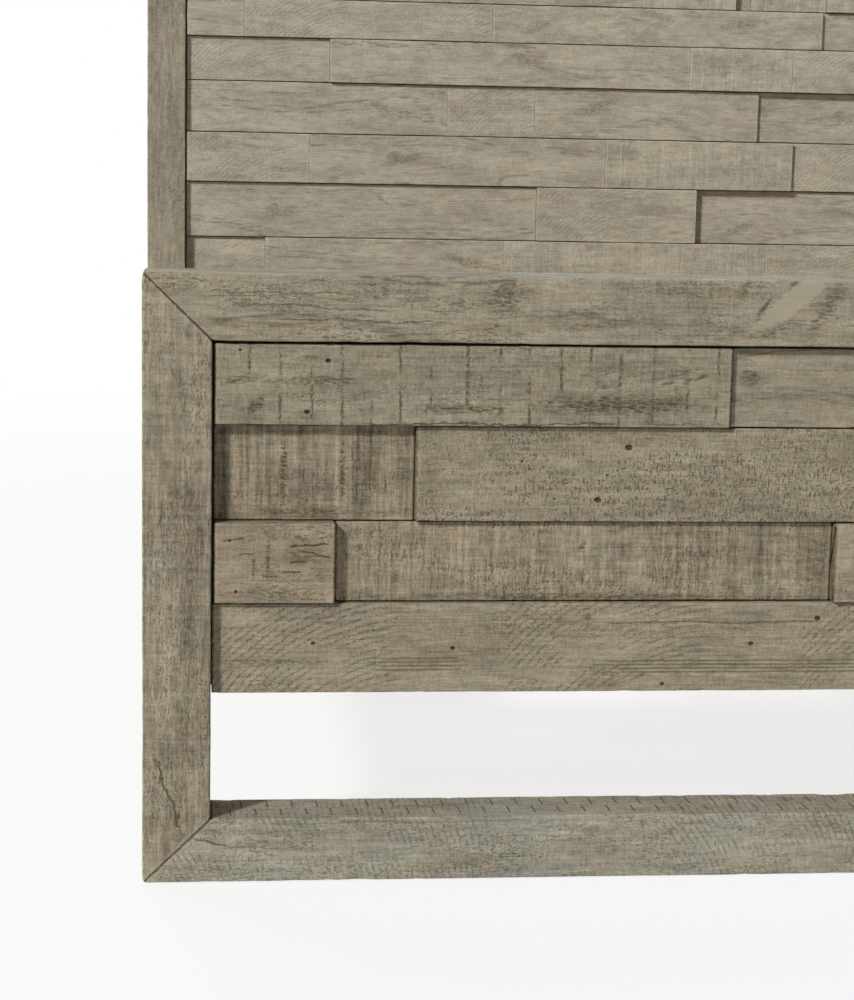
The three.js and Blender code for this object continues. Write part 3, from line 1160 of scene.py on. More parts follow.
@dataclass
class Board:
    """A length of timber: a rounded section carried along it between two end cuts.

    Attributes:
        name: The piece's name.
        lie: How it lies.
        span: Its extents.
        seed: Sets its own unevenness and its place in the grain.
        arris: Radius of its long edges.
        end_arris: Radius at its end cuts.
        wander: How far its long edges stray inward.
        undulation: How deep its faces dip.
        chips: How much its arrises are worn away.
        step: Spacing of its points along it.
        across_step: Spacing of its points across its face.
        holes: Its nail holes.
        end_dark: How dark its end cuts are stained, 0 to 1.
        corners: The rounded corners of the frame it is part of.
        side_step: Spacing of the points across its sides.
        back_step: Spacing of the points across its back.
        margin: Space between an arris and the first point on the flat beside it.
        stain_reach: How far the stain of an end cut reaches along it.
    """

    name: str
    lie: Lie
    span: Span
    seed: int
    arris: float = 0.0022
    end_arris: float = 0.0018
    wander: float = 0.0007
    undulation: float = 0.0005
    chips: float = 0.0012
    step: float = 0.006
    across_step: float = 0.006
    holes: tuple[Hole, ...] = ()
    end_dark: float = 1.0
    corners: SoftCorners | None = None
    side_step: float = 0.012
    back_step: float = 0.03
    margin: float = 0.0009
    stain_reach: float = 0.0028

    @property
    def width(self) -> float:
        """Return its size across."""
        return self.span.across[1] - self.span.across[0]

    @property
    def thickness(self) -> float:
        """Return its size from front to back."""
        return self.span.inward[1] - self.span.inward[0]

    def build(self) -> Piece:
        """Carry the section along the board and close both ends.

        A point is S(t, s) = end cuts blended by t along the board, plus the section's
        place s across and inward, less the unevenness along the section's outward
        direction. Rings near each end shrink along a quarter circle to form its arris.

        Returns:
            The object, with attributes for its grain and place, for its worn arrises with their
            painted highlight, and for its ends.
        """
        across, inward, out_across, out_inward = self._section()
        share, inset, shift = self._stations()
        edge = across / self.width
        start = self.span.start[0] + (self.span.start[1] - self.span.start[0]) * edge
        stop = self.span.stop[0] + (self.span.stop[1] - self.span.stop[0]) * edge
        along = start + (stop - start) * share[:, None] + shift[:, None]
        dip, wear_and_highlight = self._unevenness(along, across, inward, out_across)
        deepest = 0.45 * min(self.width, self.thickness)
        dip = np.minimum(dip + inset[:, None], deepest)
        across = across - out_across * dip
        inward = inward - out_inward * dip
        inward = inward + self._dimples(along, across, out_inward)
        local = (along, self.span.across[0] + across, self.span.inward[0] + inward)
        points = np.stack(local, axis=-1).reshape(-1, 3) @ self.lie.axes()
        points = self.corners.applied(points) if self.corners else points
        faces = tube_faces(*along.shape)
        if not self.lie.right_handed():
            faces = [face[::-1] for face in faces]
        own = (along - min(self.span.start), across, inward)
        place = np.stack(own, axis=-1).reshape(-1, 3)
        shuffle = np.random.default_rng(self.seed).uniform(3.0, 40.0, 3)
        to_end = np.minimum(along - along[:1], along[-1:] - along)
        ends = np.exp(-((to_end / self.stain_reach) ** 2))
        return make_piece(
            self.name,
            points,
            faces,
            flat_faces=(len(faces) - 2, len(faces) - 1),
            attributes={
                "place": place,
                "grain": place + shuffle,
                "wear_and_highlight": wear_and_highlight.ravel(),
                "end": ends.ravel() * self.end_dark,
            },
        )

    def _section(self) -> np.ndarray:
        """The rounded section, once round from the low front corner.

        Each corner is a quarter circle, c + r (cos a, sin a), and each side a straight row.

        Returns:
            Four rows: across, inward, and the outward direction's two parts.
        """
        width, thickness = self.width, self.thickness
        radius = min(self.arris, 0.4 * width, 0.4 * thickness)
        margin = radius + self.margin
        front = self._spaced(margin, width - margin, self.across_step, self._hole_edges())
        side = self._spaced(margin, thickness - margin, self.side_step)
        back = self._spaced(margin, width - margin, self.back_step)
        far_across, far_inward = width - radius, thickness - radius
        parts = (
            self._corner(radius, radius, radius, math.pi),
            self._straight(front, 0.0, (0.0, -1.0)),
            self._corner(far_across, radius, radius, 1.5 * math.pi),
            self._straight(width, side, (1.0, 0.0)),
            self._corner(far_across, far_inward, radius, 0.0),
            self._straight(back[::-1], thickness, (0.0, 1.0)),
            self._corner(radius, far_inward, radius, 0.5 * math.pi),
            self._straight(0.0, side[::-1], (-1.0, 0.0)),
        )
        return np.vstack(parts).T

    @staticmethod
    def _corner(across: float, inward: float, radius: float, turn: float) -> np.ndarray:
        """Points and outward directions of a quarter circle.

        Args:
            across: Its centre across.
            inward: Its centre inward.
            radius: Its radius.
            turn: The angle it starts at, in radians.

        Returns:
            A row for each point: across, inward, and the outward direction's two parts.
        """
        angles = turn + np.linspace(0.0, math.pi / 2, 5)
        rounds = np.stack((np.cos(angles), np.sin(angles)), axis=-1)
        return np.hstack((np.array((across, inward)) + radius * rounds, rounds))

    @staticmethod
    def _straight(across: object, inward: object, outward: tuple[float, float]) -> np.ndarray:
        """Points and outward directions of a straight side.

        Args:
            across: Places across, or the one place that the side lies at.
            inward: The same, inward.
            outward: The outward direction's two parts.

        Returns:
            A row for each point, as for a corner.
        """
        across, inward = np.broadcast_arrays(across, inward)
        return np.column_stack((across, inward, np.tile(outward, (len(across), 1))))

    @staticmethod
    def _spaced(low: float, high: float, step: float, extra: Sequence[float] = ()) -> np.ndarray:
        """Space positions evenly and add some of their own.

        Args:
            low: The first position.
            high: The last position.
            step: About how far apart they are.
            extra: Positions to add, where they lie between the two.

        Returns:
            The positions in order.
        """
        count = max(2, int(round((high - low) / step)) + 1)
        even = np.linspace(low, high, count)
        wanted = [value for value in extra if low < value < high]
        return np.unique(np.round(np.concatenate((even, wanted)), 5))

    def _hole_edges(self) -> list[float]:
        """Return extra positions across the face, close together at each nail hole."""
        offsets = np.linspace(-1.6, 1.6, 9)
        return [hole.across * MM + o * hole.radius * MM for hole in self.holes for o in offsets]

    def _stations(self) -> tuple[np.ndarray, np.ndarray, np.ndarray]:
        """Where the rings stand: their share of the length, inset and shift.

        Returns:
            Shares from 0 to 1, how far each ring shrinks, and how far it moves along.
        """
        length = self.span.stop[0] - self.span.start[0]
        radius, end_space = self.end_arris, 0.004
        count = max(2, int(round(length / self.step)) + 1)
        even = np.linspace(end_space / length, 1 - end_space / length, count)
        near = (np.array((0.0012, 0.0022)) + radius) / length
        even = np.concatenate((near, even, 1 - near))
        offsets = np.linspace(-2.2, 2.2, 13)
        dense = [
            (hole.along * MM + o * hole.radius * MM) / length
            for hole in self.holes
            for o in offsets
        ]
        body = np.unique(np.round(np.concatenate((even, dense)), 6))
        turn = np.linspace(0.0, math.pi / 2, 4)
        lip, still = radius * 1.6 + 0.0006, np.zeros(len(body))
        inset = np.concatenate(([lip], radius * (1 - np.sin(turn))))
        shift = np.concatenate(([0.0], radius * (1 - np.cos(turn))))
        share = np.concatenate((np.zeros(len(inset)), body, np.ones(len(inset))))
        moved = np.concatenate((shift, still, -shift[::-1]))
        shrunk = np.concatenate((inset, still, inset[::-1]))
        return share, shrunk, moved

    def _unevenness(
        self, along: np.ndarray, across: np.ndarray, inward: np.ndarray, out_across: np.ndarray
    ) -> tuple[np.ndarray, np.ndarray]:
        """How far the surface lies under the sawn size, and how pale its arrises are, from wear and
        a painted highlight.

        Dips are smooth noise over the face, the edges' stray is noise along the board,
        and chips are noise to the third power that fades away from each long arris.

        Args:
            along: Each point's place along the board.
            across: The section's places across.
            inward: The section's places inward.
            out_across: The outward direction's part across.

        Returns:
            The depth of the surface, and its arris wear and painted highlight, for each point.
        """
        seed = self.seed * 7 + 11
        around = across + inward * 1.7
        dips = value_noise(along / DIP[0], around / DIP[1], seed) + 1.0
        ripple = value_noise(along / RIPPLE[0], around / RIPPLE[1], seed + 1) + 1.0
        stray = value_noise(along / STRAY, np.sign(out_across) * 3.3 + 9.5, seed + 2) + 1.0
        depth = self.undulation * (0.36 * dips + 0.14 * ripple)
        depth = depth + self.wander * 0.5 * stray * np.abs(out_across)
        to_side = np.minimum(across, self.width - across)
        to_face = np.minimum(inward, self.thickness - inward)
        reach = np.maximum(to_side, to_face)
        corner = (across > self.width / 2) * 2.0 + (inward > self.thickness / 2) * 5.0
        nick = value_noise(along / NICK, corner * 3.1 + 0.5, seed + 3) * 0.6
        nick = nick + value_noise(along / CHIP, corner * 3.1 + 7.5, seed + 4) * 0.4
        nick = np.clip(nick + 0.35, 0.0, 1.2) ** 3
        close = np.exp(-((reach / (self.arris * 1.5)) ** 2))
        depth = depth + self.chips * nick * close
        # How pale each arris is: partly its wear, partly a painted highlight of the light it
        # catches.
        wear_and_highlight = np.exp(-reach / (self.arris * 0.9)) * np.ones_like(along)
        return depth, wear_and_highlight

    def _dimples(
        self, along: np.ndarray, across: np.ndarray, out_inward: np.ndarray
    ) -> np.ndarray:
        """How deep the nail holes are: a steep-sided cup at each, on the front face only.

        Args:
            along: Each point's place along the board.
            across: Each point's place across it.
            out_inward: The outward direction's part inward.

        Returns:
            The extra depth of each point.
        """
        front = (out_inward < -0.99) * 1.0
        depth = np.zeros_like(along)
        for hole in self.holes:
            x = (along - min(self.span.start)) / MM - hole.along
            y = across / MM - hole.across
            distance = np.hypot(x * 0.74, y) / hole.radius
            depth = depth + hole.depth * MM * (1 - ease((distance - 0.35) / 0.75))
        return depth * front


# ---- fasteners


def beside(axis: np.ndarray) -> tuple[np.ndarray, np.ndarray]:
    """Find two directions square to an axis and to each other.

    Args:
        axis: The axis, of length 1.

    Returns:
        The two directions.
    """
    side = np.cross(axis, (0.31, 0.52, 0.79))
    side = side / np.linalg.norm(side)
    return side, np.cross(axis, side)


@dataclass(frozen=True)
class ScrewHead:
    """A low domed screw head with a cross recess, standing just proud of a face.

    Attributes:
        radius: The head's radius.
        dome: How far its middle stands out.
        recess: How deep the cross is.
        around: Points to a ring.
        shares: Each ring's radius, as a share of the head's.
        levels: Each ring's height, as a share of the dome's.
        bar: Half the width of the cross's bars, as a share of the radius.
        bar_reach: Half their length.
        slope: Width of the recess's walls.
    """

    radius: float = 0.0042
    dome: float = 0.0008
    recess: float = 0.0007
    around: int = 12
    shares: tuple[float, ...] = (0.80, 1.0, 0.62, 0.36, 0.12)
    levels: tuple[float, ...] = (-1.6, 0.0, 0.75, 0.95, 1.0)
    bar: float = 0.06
    bar_reach: float = 0.45
    slope: float = 0.12

    def points(self, centre: np.ndarray, outward: np.ndarray, turn: float) -> np.ndarray:
        """A disc grid P(r, angle), raised to each ring's level and sunk by two crossed bars.

        Args:
            centre: The middle of the head, on the face.
            outward: The face's outward direction.
            turn: How far the recess is turned, in radians.

        Returns:
            The points, ring after ring from the rim's underside to the middle.
        """
        side, other = beside(outward)
        plain = np.arange(self.around) * 2 * math.pi / self.around
        shares = np.array(self.shares)[:, None]
        u, v = shares * np.cos(plain), shares * np.sin(plain)
        from_bar = np.minimum(np.abs(u), np.abs(v)) - self.bar
        past_end = np.hypot(u, v) - self.bar_reach
        sunk = (1 - ease(from_bar / self.slope)) * (1 - ease(past_end / self.slope))
        sunk[:2] = 0.0
        height = np.array(self.levels)[:, None] * self.dome - self.recess * sunk
        x, y = shares * np.cos(plain + turn), shares * np.sin(plain + turn)
        grid = (
            centre
            + self.radius * x[..., None] * side
            + self.radius * y[..., None] * other
            + height[..., None] * outward
        )
        return grid.reshape(-1, 3)

    def group(
        self, name: str, spots: Sequence[np.ndarray], outward: np.ndarray, seed: int
    ) -> Piece:
        """Make one dressed piece of many heads that face the same way.

        Args:
            name: The piece's name.
            spots: The middle of each head.
            outward: The way they face.
            seed: Sets how each is turned.

        Returns:
            The piece.
        """
        turns = np.random.default_rng(seed).uniform(0, math.pi / 2, len(spots))
        rings = len(self.shares)
        points, faces = [], []
        for number, (spot, turn) in enumerate(zip(spots, turns)):
            points.append(self.points(spot, outward, turn))
            faces += tube_faces(rings, self.around, number * rings * self.around)
        return dressed(make_piece(name, np.vstack(points), faces), ZINC)


def turned(
    profile: Sequence[tuple[float, float]], centre: np.ndarray, axis: np.ndarray, sides: int
) -> Mesh:
    """A profile of (radius, height) turned about an axis, closed at both ends by a face.

    Args:
        profile: Radius and height of each ring, from one end to the other.
        centre: The point of height 0.
        axis: The direction of height.
        sides: Points to a ring.

    Returns:
        The points and the faces.
    """
    side, other = beside(axis)
    radii, heights = np.array(profile).T
    angles = np.arange(sides) * 2 * math.pi / sides
    points = (
        centre
        + radii[:, None, None] * (np.cos(angles)[:, None] * side + np.sin(angles)[:, None] * other)
        + heights[:, None, None] * axis
    ).reshape(-1, 3)
    return points, tube_faces(len(profile), sides)


def joined(parts: Sequence[Mesh]) -> Mesh:
    """Put several point and face lists together.

    Args:
        parts: The points and faces of each part.

    Returns:
        All points, and all faces with their point numbers raised to fit.
    """
    points, faces, base = [], [], 0
    for some, polygons in parts:
        points.append(some)
        faces += [[corner + base for corner in polygon] for polygon in polygons]
        base += len(some)
    return np.vstack(points), faces


# ---- the finishes used


STILE_TONE = linear(144, 134, 115)
RAIL_TONE = linear(144, 136, 117)
HEAD_TONE = linear(166, 159, 143)

TOP_RAIL = WeatheredPine(
    "pine_foot_top_rail",
    RAIL_TONE,
    growth=0.62,
    speck_fill=0.55,
    # The upper side's pale grey is a painted highlight.
    top_pale_highlight=0.85,
    marks=(
        Mark(SCAR, 712, 52, 104, 27, 38, 0.95),
        Mark(SMEAR, 678, 44, 26, 6, 52, 0.85),
        Mark(SMEAR, 710, 70, 16, 6, 15, 0.7),
        Mark(KNOT, 391, 60, 40, 18, 30, 0.75),
        Mark(STREAK, 391, 50, 70, 40, 20, 0.8),
        Mark(STREAK, 748, 42, 84, 26, 58, 0.75),
        Mark(STREAK, 690, 18, 90, 20, 15, 0.65),
        Mark(STREAK, 655, 60, 50, 12, 60, 0.65),
        Mark(STREAK, 500, 22, 160, 14, 4, 0.55),
        Mark(STREAK, 585, 60, 90, 12, -8, 0.6),
        Mark(CRACK, 150, 53, 150, 1.6, 0, 0.6),
        Mark(CRACK, 240, 24, 210, 1.7, -1, 0.7),
        Mark(CRACK, 190, 38, 170, 1.6, -3, 0.6),
        Mark(CRACK, 430, 31, 150, 1.5, 3, 0.5),
    ),
)
BOTTOM_RAIL = WeatheredPine(
    "pine_foot_bottom_rail",
    linear(151, 145, 129),
    growth=0.15,
    speck_fill=0.75,
    blotch=0.20,
    cloud=0.7,
    cool=0.8,
    ticks=True,
    saw=SawPattern.ARCS,
    saw_strength=0.55,
    arc_centre=(-0.20, -0.12),
    arc_repeat=0.62,
    arc_pitch=0.0068,
    marks=(
        Mark(CRACK, 76, 47, 42, 2.6, -15, 0.8),
        Mark(CRACK, 136, 40, 100, 1.5, -3, 0.45),
        Mark(SCAR, 62, 54, 10, 4, 20, 0.8),
        Mark(STREAK, 70, 60, 60, 8, -4, 0.6),
        Mark(KNOT, 504, 56, 34, 14, 10, 0.55),
        Mark(CRACK, 300, 68, 330, 1.3, 0, 0.5),
    ),
)
STILE = WeatheredPine(
    "pine_foot_stile",
    STILE_TONE,
    fibre=0.30,
    growth=0.30,
    speck_fill=0.75,
    blotch=0.55,
    cloud=1.1,
    saw=SawPattern.BANDS,
    saw_strength=0.22,
    marks=(
        Mark(CRACK, 100, 30, 112, 3.0, -20, 0.80),
        Mark(KNOT, 55, 40, 24, 20, 60, 0.5),
        Mark(STREAK, 360, 50, 420, 30, 0, 0.6),
        Mark(STREAK, 180, 48, 160, 36, 0, 0.55),
        Mark(SMEAR, 330, 3.0, 520, 3.0, 0, 0.4),
    ),
)
PLANK_A = WeatheredPine(
    "pine_plank_a",
    linear(137, 130, 111),
    weave=0.20,
    growth=0.16,
    speck_fill=0.45,
    blotch=0.26,
    saw=SawPattern.LINES,
    saw_strength=0.80,
    holes=(Hole(123, 71), Hole(101, 15), Hole(28, 82, 1.5, 1.0)),
    marks=(
        Mark(SMEAR, 535, 57, 22, 6, 24, 0.8),
        Mark(STREAK, 520, 52, 22, 7, 40, 0.9),
        Mark(STREAK, 497, 49, 26, 7, 20, 0.85),
        Mark(STREAK, 440, 25, 230, 30, 0, 0.9),
        Mark(STREAK, 270, 19, 130, 14, 0, 0.9),
        Mark(STREAK, 110, 49, 150, 14, 2, 0.75),
        Mark(STREAK, 30, 50, 56, 14, 8, 0.8),
        Mark(STREAK, 46, 22, 34, 16, 30, 0.95),
        Mark(STREAK, 505, 60, 80, 16, 12, 0.6),
        Mark(STREAK, 500, 5, 130, 8, 0, 0.7),
        Mark(CRACK, 300, 3.0, 330, 2.2, 0, 0.8),
    ),
)
PLANK_B = WeatheredPine(
    "pine_plank_b",
    linear(137, 129, 111),
    growth=0.5,
    speck_fill=0.35,
    marks=(
        Mark(STREAK, 22, 56, 34, 26, -12, 0.8),
        Mark(CRACK, 260, 66, 480, 1.4, 0, 0.5),
    ),
)
PLANK_C = WeatheredPine(
    "pine_plank_c",
    linear(137, 126, 106),
    weave=0.26,
    growth=0.0,
    speck_across=True,
    speck_fill=0.6,
    saw=SawPattern.BANDS,
    saw_strength=0.60,
    marks=(
        Mark(STREAK, 76, 54, 104, 9, 90, 0.95),
        Mark(STREAK, 141, 54, 104, 8, 90, 0.90),
        Mark(STREAK, 152, 60, 96, 6, 90, 0.75),
        Mark(STREAK, 30, 54, 104, 6, 90, 0.6),
        Mark(STREAK, 110, 9, 210, 16, 0, 0.7),
        Mark(STREAK, 205, 50, 90, 12, 90, 0.6),
        Mark(SCAR, 150, 40, 70, 4, 90, 0.6),
    ),
)
PLANK_D = WeatheredPine(
    "pine_plank_d",
    linear(141, 132, 112),
    weave=0.22,
    growth=0.05,
    speck=0.75,
    speck_across=True,
    speck_fill=0.95,
    blotch=0.16,
    holes=(Hole(237, 84, 3.4), Hole(204, 25, 3.4), Hole(118, 68, 1.2, 1.0), Hole(155, 26, 1.2, 1.0)),
    marks=(Mark(STREAK, 16, 50, 96, 30, 90, 0.45),),
)
PLANK_E = WeatheredPine(
    "pine_plank_e",
    linear(142, 130, 110),
    weave=0.16,
    growth=0.05,
    speck=0.6,
    marks=(
        Mark(CRACK, 104, 66, 50, 2.2, 3, 0.95),
        Mark(CRACK, 112, 56, 36, 2.2, -14, 0.95),
        Mark(CRACK, 92, 47, 20, 2.2, 0, 0.9),
        Mark(CRACK, 86, 36, 22, 1.8, 0, 0.85),
        Mark(CRACK, 62, 31, 18, 1.8, 0, 0.8),
        Mark(CRACK, 22, 72, 26, 1.8, 5, 0.8),
        Mark(CRACK, 36, 56, 18, 1.8, 0, 0.8),
        Mark(STREAK, 60, 52, 66, 6, 88, 0.9),
        Mark(STREAK, 44, 42, 40, 5, 90, 0.9),
        Mark(STREAK, 100, 56, 60, 30, 0, 0.65),
        Mark(STREAK, 70, 12, 120, 12, 0, 0.7),
    ),
    holes=(Hole(25, 14, 1.8, 1.2), Hole(18, 71, 1.5, 1.0)),
)
PLANK_F = WeatheredPine(
    "pine_plank_f",
    linear(142, 131, 111),
    weave=0.30,
    growth=0.0,
    speck_across=True,
    speck=0.7,
    speck_fill=0.65,
    saw=SawPattern.BANDS,
    saw_strength=0.40,
    marks=(
        Mark(STREAK, 549, 45, 150, 38, 90, 0.5),
        Mark(STREAK, 270, 5, 540, 10, 0, 0.8),
        Mark(STREAK, 276, 62, 22, 12, 90, 0.9),
        Mark(STREAK, 276, 28, 22, 12, 90, 0.8),
    ),
)
PLANK_G = WeatheredPine("pine_plank_g", linear(148, 137, 119), speck_across=True)
PLANK_H = WeatheredPine(
    "pine_plank_h",
    linear(144, 134, 114),
    fibre=0.34,
    growth=0.22,
    speck_fill=0.35,
    blotch=0.20,
    saw=SawPattern.ARCS,
    saw_strength=0.60,
    holes=(
        Hole(112, 57, 2.2, 1.5),
        Hole(268, 51, 2.4, 1.8),
        Hole(607, 55, 2.6, 1.8),
        Hole(683, 84, 3.0, 2.0),
        Hole(507, 9, 2.2, 1.5),
    ),
    marks=(
        Mark(KNOT, 418, 86, 16, 11, 0, 0.75),
        Mark(GROOVES, 227, 33, 100, 17, 0, 0.6),
        Mark(GROOVES, 590, 29, 330, 20, 0, 0.6),
        Mark(CRACK, 560, 80, 300, 1.4, 0, 0.7),
        Mark(STREAK, 70, 36, 150, 10, 0, 0.7),
    ),
)

FOOT_FINISHES = {
    "row1_1": PLANK_A,
    "row1_2": PLANK_B,
    "row1_3": PLANK_C,
    "row2_1": PLANK_C,
    "row2_2": PLANK_D,
    "row2_3": PLANK_B,
    "row3_1": PLANK_E,
    "row3_2": PLANK_F,
    "row3_3": PLANK_G,
    "row3_4": PLANK_B,
    "row4_1": PLANK_H,
}


def head_finish(number: int) -> WeatheredPine:
    """Return one of twelve finishes that the headboard's planks take in turn.

    Args:
        number: The plank's number, counted on through the courses.

    Returns:
        The finish.
    """
    kinds, variants = 6, 12
    kind, again = number % kinds, number % variants // kinds
    shift, lean = 210 * again, 1 - 2 * again
    knotty = (
        Mark(KNOT, 170 + shift, 58, 46, 22, 18 * lean, 0.5),
        Mark(STREAK, 190 + shift, 50, 120, 26, 14 * lean, 0.55),
        Mark(CRACK, 250 + shift, 34, 150, 1.8, 9 * lean, 0.4),
    )
    swirled = (
        Mark(STREAK, 330 - shift, 62, 140, 20, -16 * lean, 0.55),
        Mark(STREAK, 90 + shift, 30, 110, 18, 22 * lean, 0.55),
        Mark(STREAK, 520, 50, 160, 24, 10 * lean, 0.5),
    )
    banded = (
        Mark(STREAK, 40 + shift, 50, 110, 26, 90, 0.5),
        Mark(STREAK, 215 + shift, 50, 110, 12, 90, 0.5),
    )
    growth, weave, saw, saw_strength, blotch, marks = (
        (0.50, 0.08, SawPattern.NONE, 0.0, 0.34, knotty),
        (0.0, 0.16, SawPattern.BANDS, 0.18, 0.24, ()),
        (0.10, 0.12, SawPattern.LINES, 0.45, 0.24, ()),
        (0.15, 0.10, SawPattern.ARCS, 0.40, 0.24, ()),
        (0.40, 0.08, SawPattern.NONE, 0.0, 0.40, swirled),
        (0.0, 0.20, SawPattern.BANDS, 0.26, 0.24, banded),
    )[kind]
    return WeatheredPine(
        f"pine_head_{number % variants}",
        HEAD_TONE,
        fibre=0.18,
        growth=growth,
        weave=weave,
        speck_across=bool(kind % 2),
        saw=saw,
        saw_strength=saw_strength,
        speck=0.36,
        blotch=blotch,
        cloud=0.7,
        marks=marks,
    )


HEAD_FRAME = WeatheredPine("pine_head_frame", linear(147, 139, 122), growth=0.4, blotch=0.3)
SIDE_RAIL = WeatheredPine("pine_side_rail", RAIL_TONE, growth=0.45, blotch=0.3)
SUPPORT = PlainPine("pine_support", linear(206, 180, 140), linear(170, 130, 86))
LEG_PINE = PlainPine("pine_leg", SUPPORT.tone, SUPPORT.lines, upright=True)
SHEET = Plywood("plywood_sheet", linear(190, 166, 130), linear(150, 120, 84))
STAINED_SHEET = Plywood("plywood_stained", linear(142, 133, 114), linear(112, 102, 84))
ZINC = PlatedSteel("zinc_plate", (0.55, 0.56, 0.57), 0.38)
FOOT_STEEL = PlatedSteel("foot_steel", (0.40, 0.41, 0.42), 0.42)


# ---- sub-assemblies


@dataclass
class MitredFrame:
    """The four mitred members of one end of the bed.

    Attributes:
        end: footboard or headboard.
        rail_finishes: The finishes of the top and the bottom rail.
        stile_finish: The finish of both stiles.
        seed: Sets the members' unevenness.
        step: Spacing of the points along them.
        arris: Radius of their long edges.
        end_arris: Radius at their mitres.
    """

    end: str
    rail_finishes: tuple[WeatheredPine, WeatheredPine]
    stile_finish: WeatheredPine
    seed: int
    step: float = 0.006
    arris: float = 0.0026
    end_arris: float = 0.0011

    def build(self) -> list[Piece]:
        """Build and dress the two rails and the two stiles.

        Returns:
            The four pieces.
        """
        made = []
        low, high = low_corner(f"{self.end}_stile_left"), high_corner(f"{self.end}_stile_right")
        corners = SoftCorners((low[0], low[2]), (high[0], high[2]))
        members = (
            ("top_rail", LIE_RAIL, self.rail_finishes[0]),
            ("bottom_rail", LIE_RAIL, self.rail_finishes[1]),
            ("stile_left", LIE_POST, self.stile_finish),
            ("stile_right", LIE_POST, self.stile_finish),
        )
        for number, (member, lie, finish) in enumerate(members):
            node = f"{self.end}_{member}"
            board = Board(
                f"{node}_timber",
                lie,
                span_of(node, lie),
                self.seed + number,
                arris=self.arris,
                end_arris=self.end_arris,
                step=self.step,
                corners=corners,
            )
            made.append(dressed(board.build(), finish, (node,)))
        return made


@dataclass
class FootPlanks:
    """The footboard's planks, each with its own finish.

    Attributes:
        seed: Sets the boards' unevenness.
        swell: How far a board fills the gap to its neighbour.
        tuck: How far the lowest board reaches to the stiles.
        proud: How far behind the stiles' face a board still counts as standing forward.
    """

    seed: int = 40
    swell: float = 0.0003
    tuck: float = 0.0016
    proud: float = 0.006

    def build(self) -> list[Piece]:
        """Build and dress every plank.

        Returns:
            The pieces, course after course.
        """
        made = []
        for number, (place, finish) in enumerate(FOOT_FINISHES.items()):
            node = f"footboard_plank_{place}"
            reach = self.tuck if place == "row4_1" else self.swell
            span = span_of(node, LIE_RAIL).swollen(reach, self.swell)
            proud = span.inward[0] < low_corner("footboard_stile_left")[1] + self.proud
            board = Board(
                f"{node}_board",
                LIE_RAIL,
                span,
                self.seed + number,
                arris=0.0022 if proud else 0.0016,
                end_arris=0.0026 if proud else 0.0014,
                step=0.005,
                across_step=0.005,
                holes=finish.holes,
            )
            made.append(dressed(board.build(), finish, (node,)))
        return made


@dataclass
class HeadPlanks:
    """The headboard's planks: each stepped course becomes the planks it stands for.

    Attributes:
        courses: How many courses there are.
        gap: Space between neighbouring planks of a course.
        swell: How far a plank grows at its ends and edges.
        seed: Sets the planks' unevenness.
    """

    courses: int = 12
    gap: float = 0.0005
    swell: float = 0.0003
    seed: int = 100

    def build(self) -> list[Piece]:
        """Build and dress the planks of every course.

        Returns:
            The pieces, course after course.
        """
        made = []
        for course in range(1, self.courses + 1):
            node = f"headboard_plank_course_{course:02d}"
            for number, span in enumerate(self._spans(node)):
                board = Board(
                    f"{node}_board_{number + 1}",
                    LIE_RAIL,
                    span.swollen(self.swell, self.swell),
                    self.seed + course * 10 + number,
                    arris=0.0015,
                    end_arris=0.0011,
                    step=0.009,
                    across_step=0.008,
                    end_dark=0.6,
                )
                finish = head_finish(course * 3 + number * 2 + (number == 1))
                made.append(dressed(board.build(), finish, (node,)))
        return made

    def _spans(self, node: str) -> list[Span]:
        """Read each plank's extent from the steps in its course.

        Args:
            node: The course.

        Returns:
            A span for each plank, from left to right.
        """
        points, near = node_points(node), 0.0002
        back = points[:, 1].max()
        low, high = points[:, 2].min(), points[:, 2].max()
        edges = np.unique(np.round(points[:, 0], 4))
        spans = []
        for left, right in zip(edges[:-1], edges[1:]):
            depths = [
                set(np.round(points[np.abs(points[:, 0] - edge) < near, 1], 4))
                for edge in (left, right)
            ]
            front = min(depths[0] & depths[1])
            stop = right if right == edges[-1] else right - self.gap
            spans.append(Span((left, left), (stop, stop), (low, high), (front, back)))
        return spans


@dataclass
class BackingSheet:
    """The sheet behind the planks of one end, with its screws.

    Attributes:
        end: footboard or headboard.
        finish: Its finish.
        seed: Sets its unevenness and how its screws are turned.
        screw_rows: Screws from bottom to top.
        screw_columns: Screws from side to side.
        rebate: How far it reaches into the frame at each end.
        inset: How far the outer screws stand in from its edges.
    """

    end: str
    finish: Plywood
    seed: int
    screw_rows: int
    screw_columns: int = 7
    rebate: float = 0.0012
    inset: float = 0.035

    def build(self) -> list[Piece]:
        """Build the sheet and the screws that hold it to the planks.

        Returns:
            The sheet and one piece with its screws.
        """
        node = f"{self.end}_backing_panel"
        board = Board(
            f"{node}_sheet",
            LIE_RAIL,
            span_of(node, LIE_RAIL).swollen(self.rebate, 0.0),
            self.seed,
            arris=0.0006,
            end_arris=0.0006,
            wander=0.0,
            undulation=0.0002,
            chips=0.0002,
            step=0.03,
            across_step=0.03,
        )
        sheet = dressed(board.build(), self.finish, (node,))
        low, high = low_corner(node) + self.inset, high_corner(node) - self.inset
        xs = np.linspace(low[0], high[0], self.screw_columns)
        zs = np.linspace(low[2], high[2], self.screw_rows)
        spots = [np.array((x, high_corner(node)[1], z)) for x in xs for z in zs]
        return [
            sheet,
            ScrewHead().group(f"{self.end}_backing_screws", spots, Y_AXIS, self.seed),
        ]


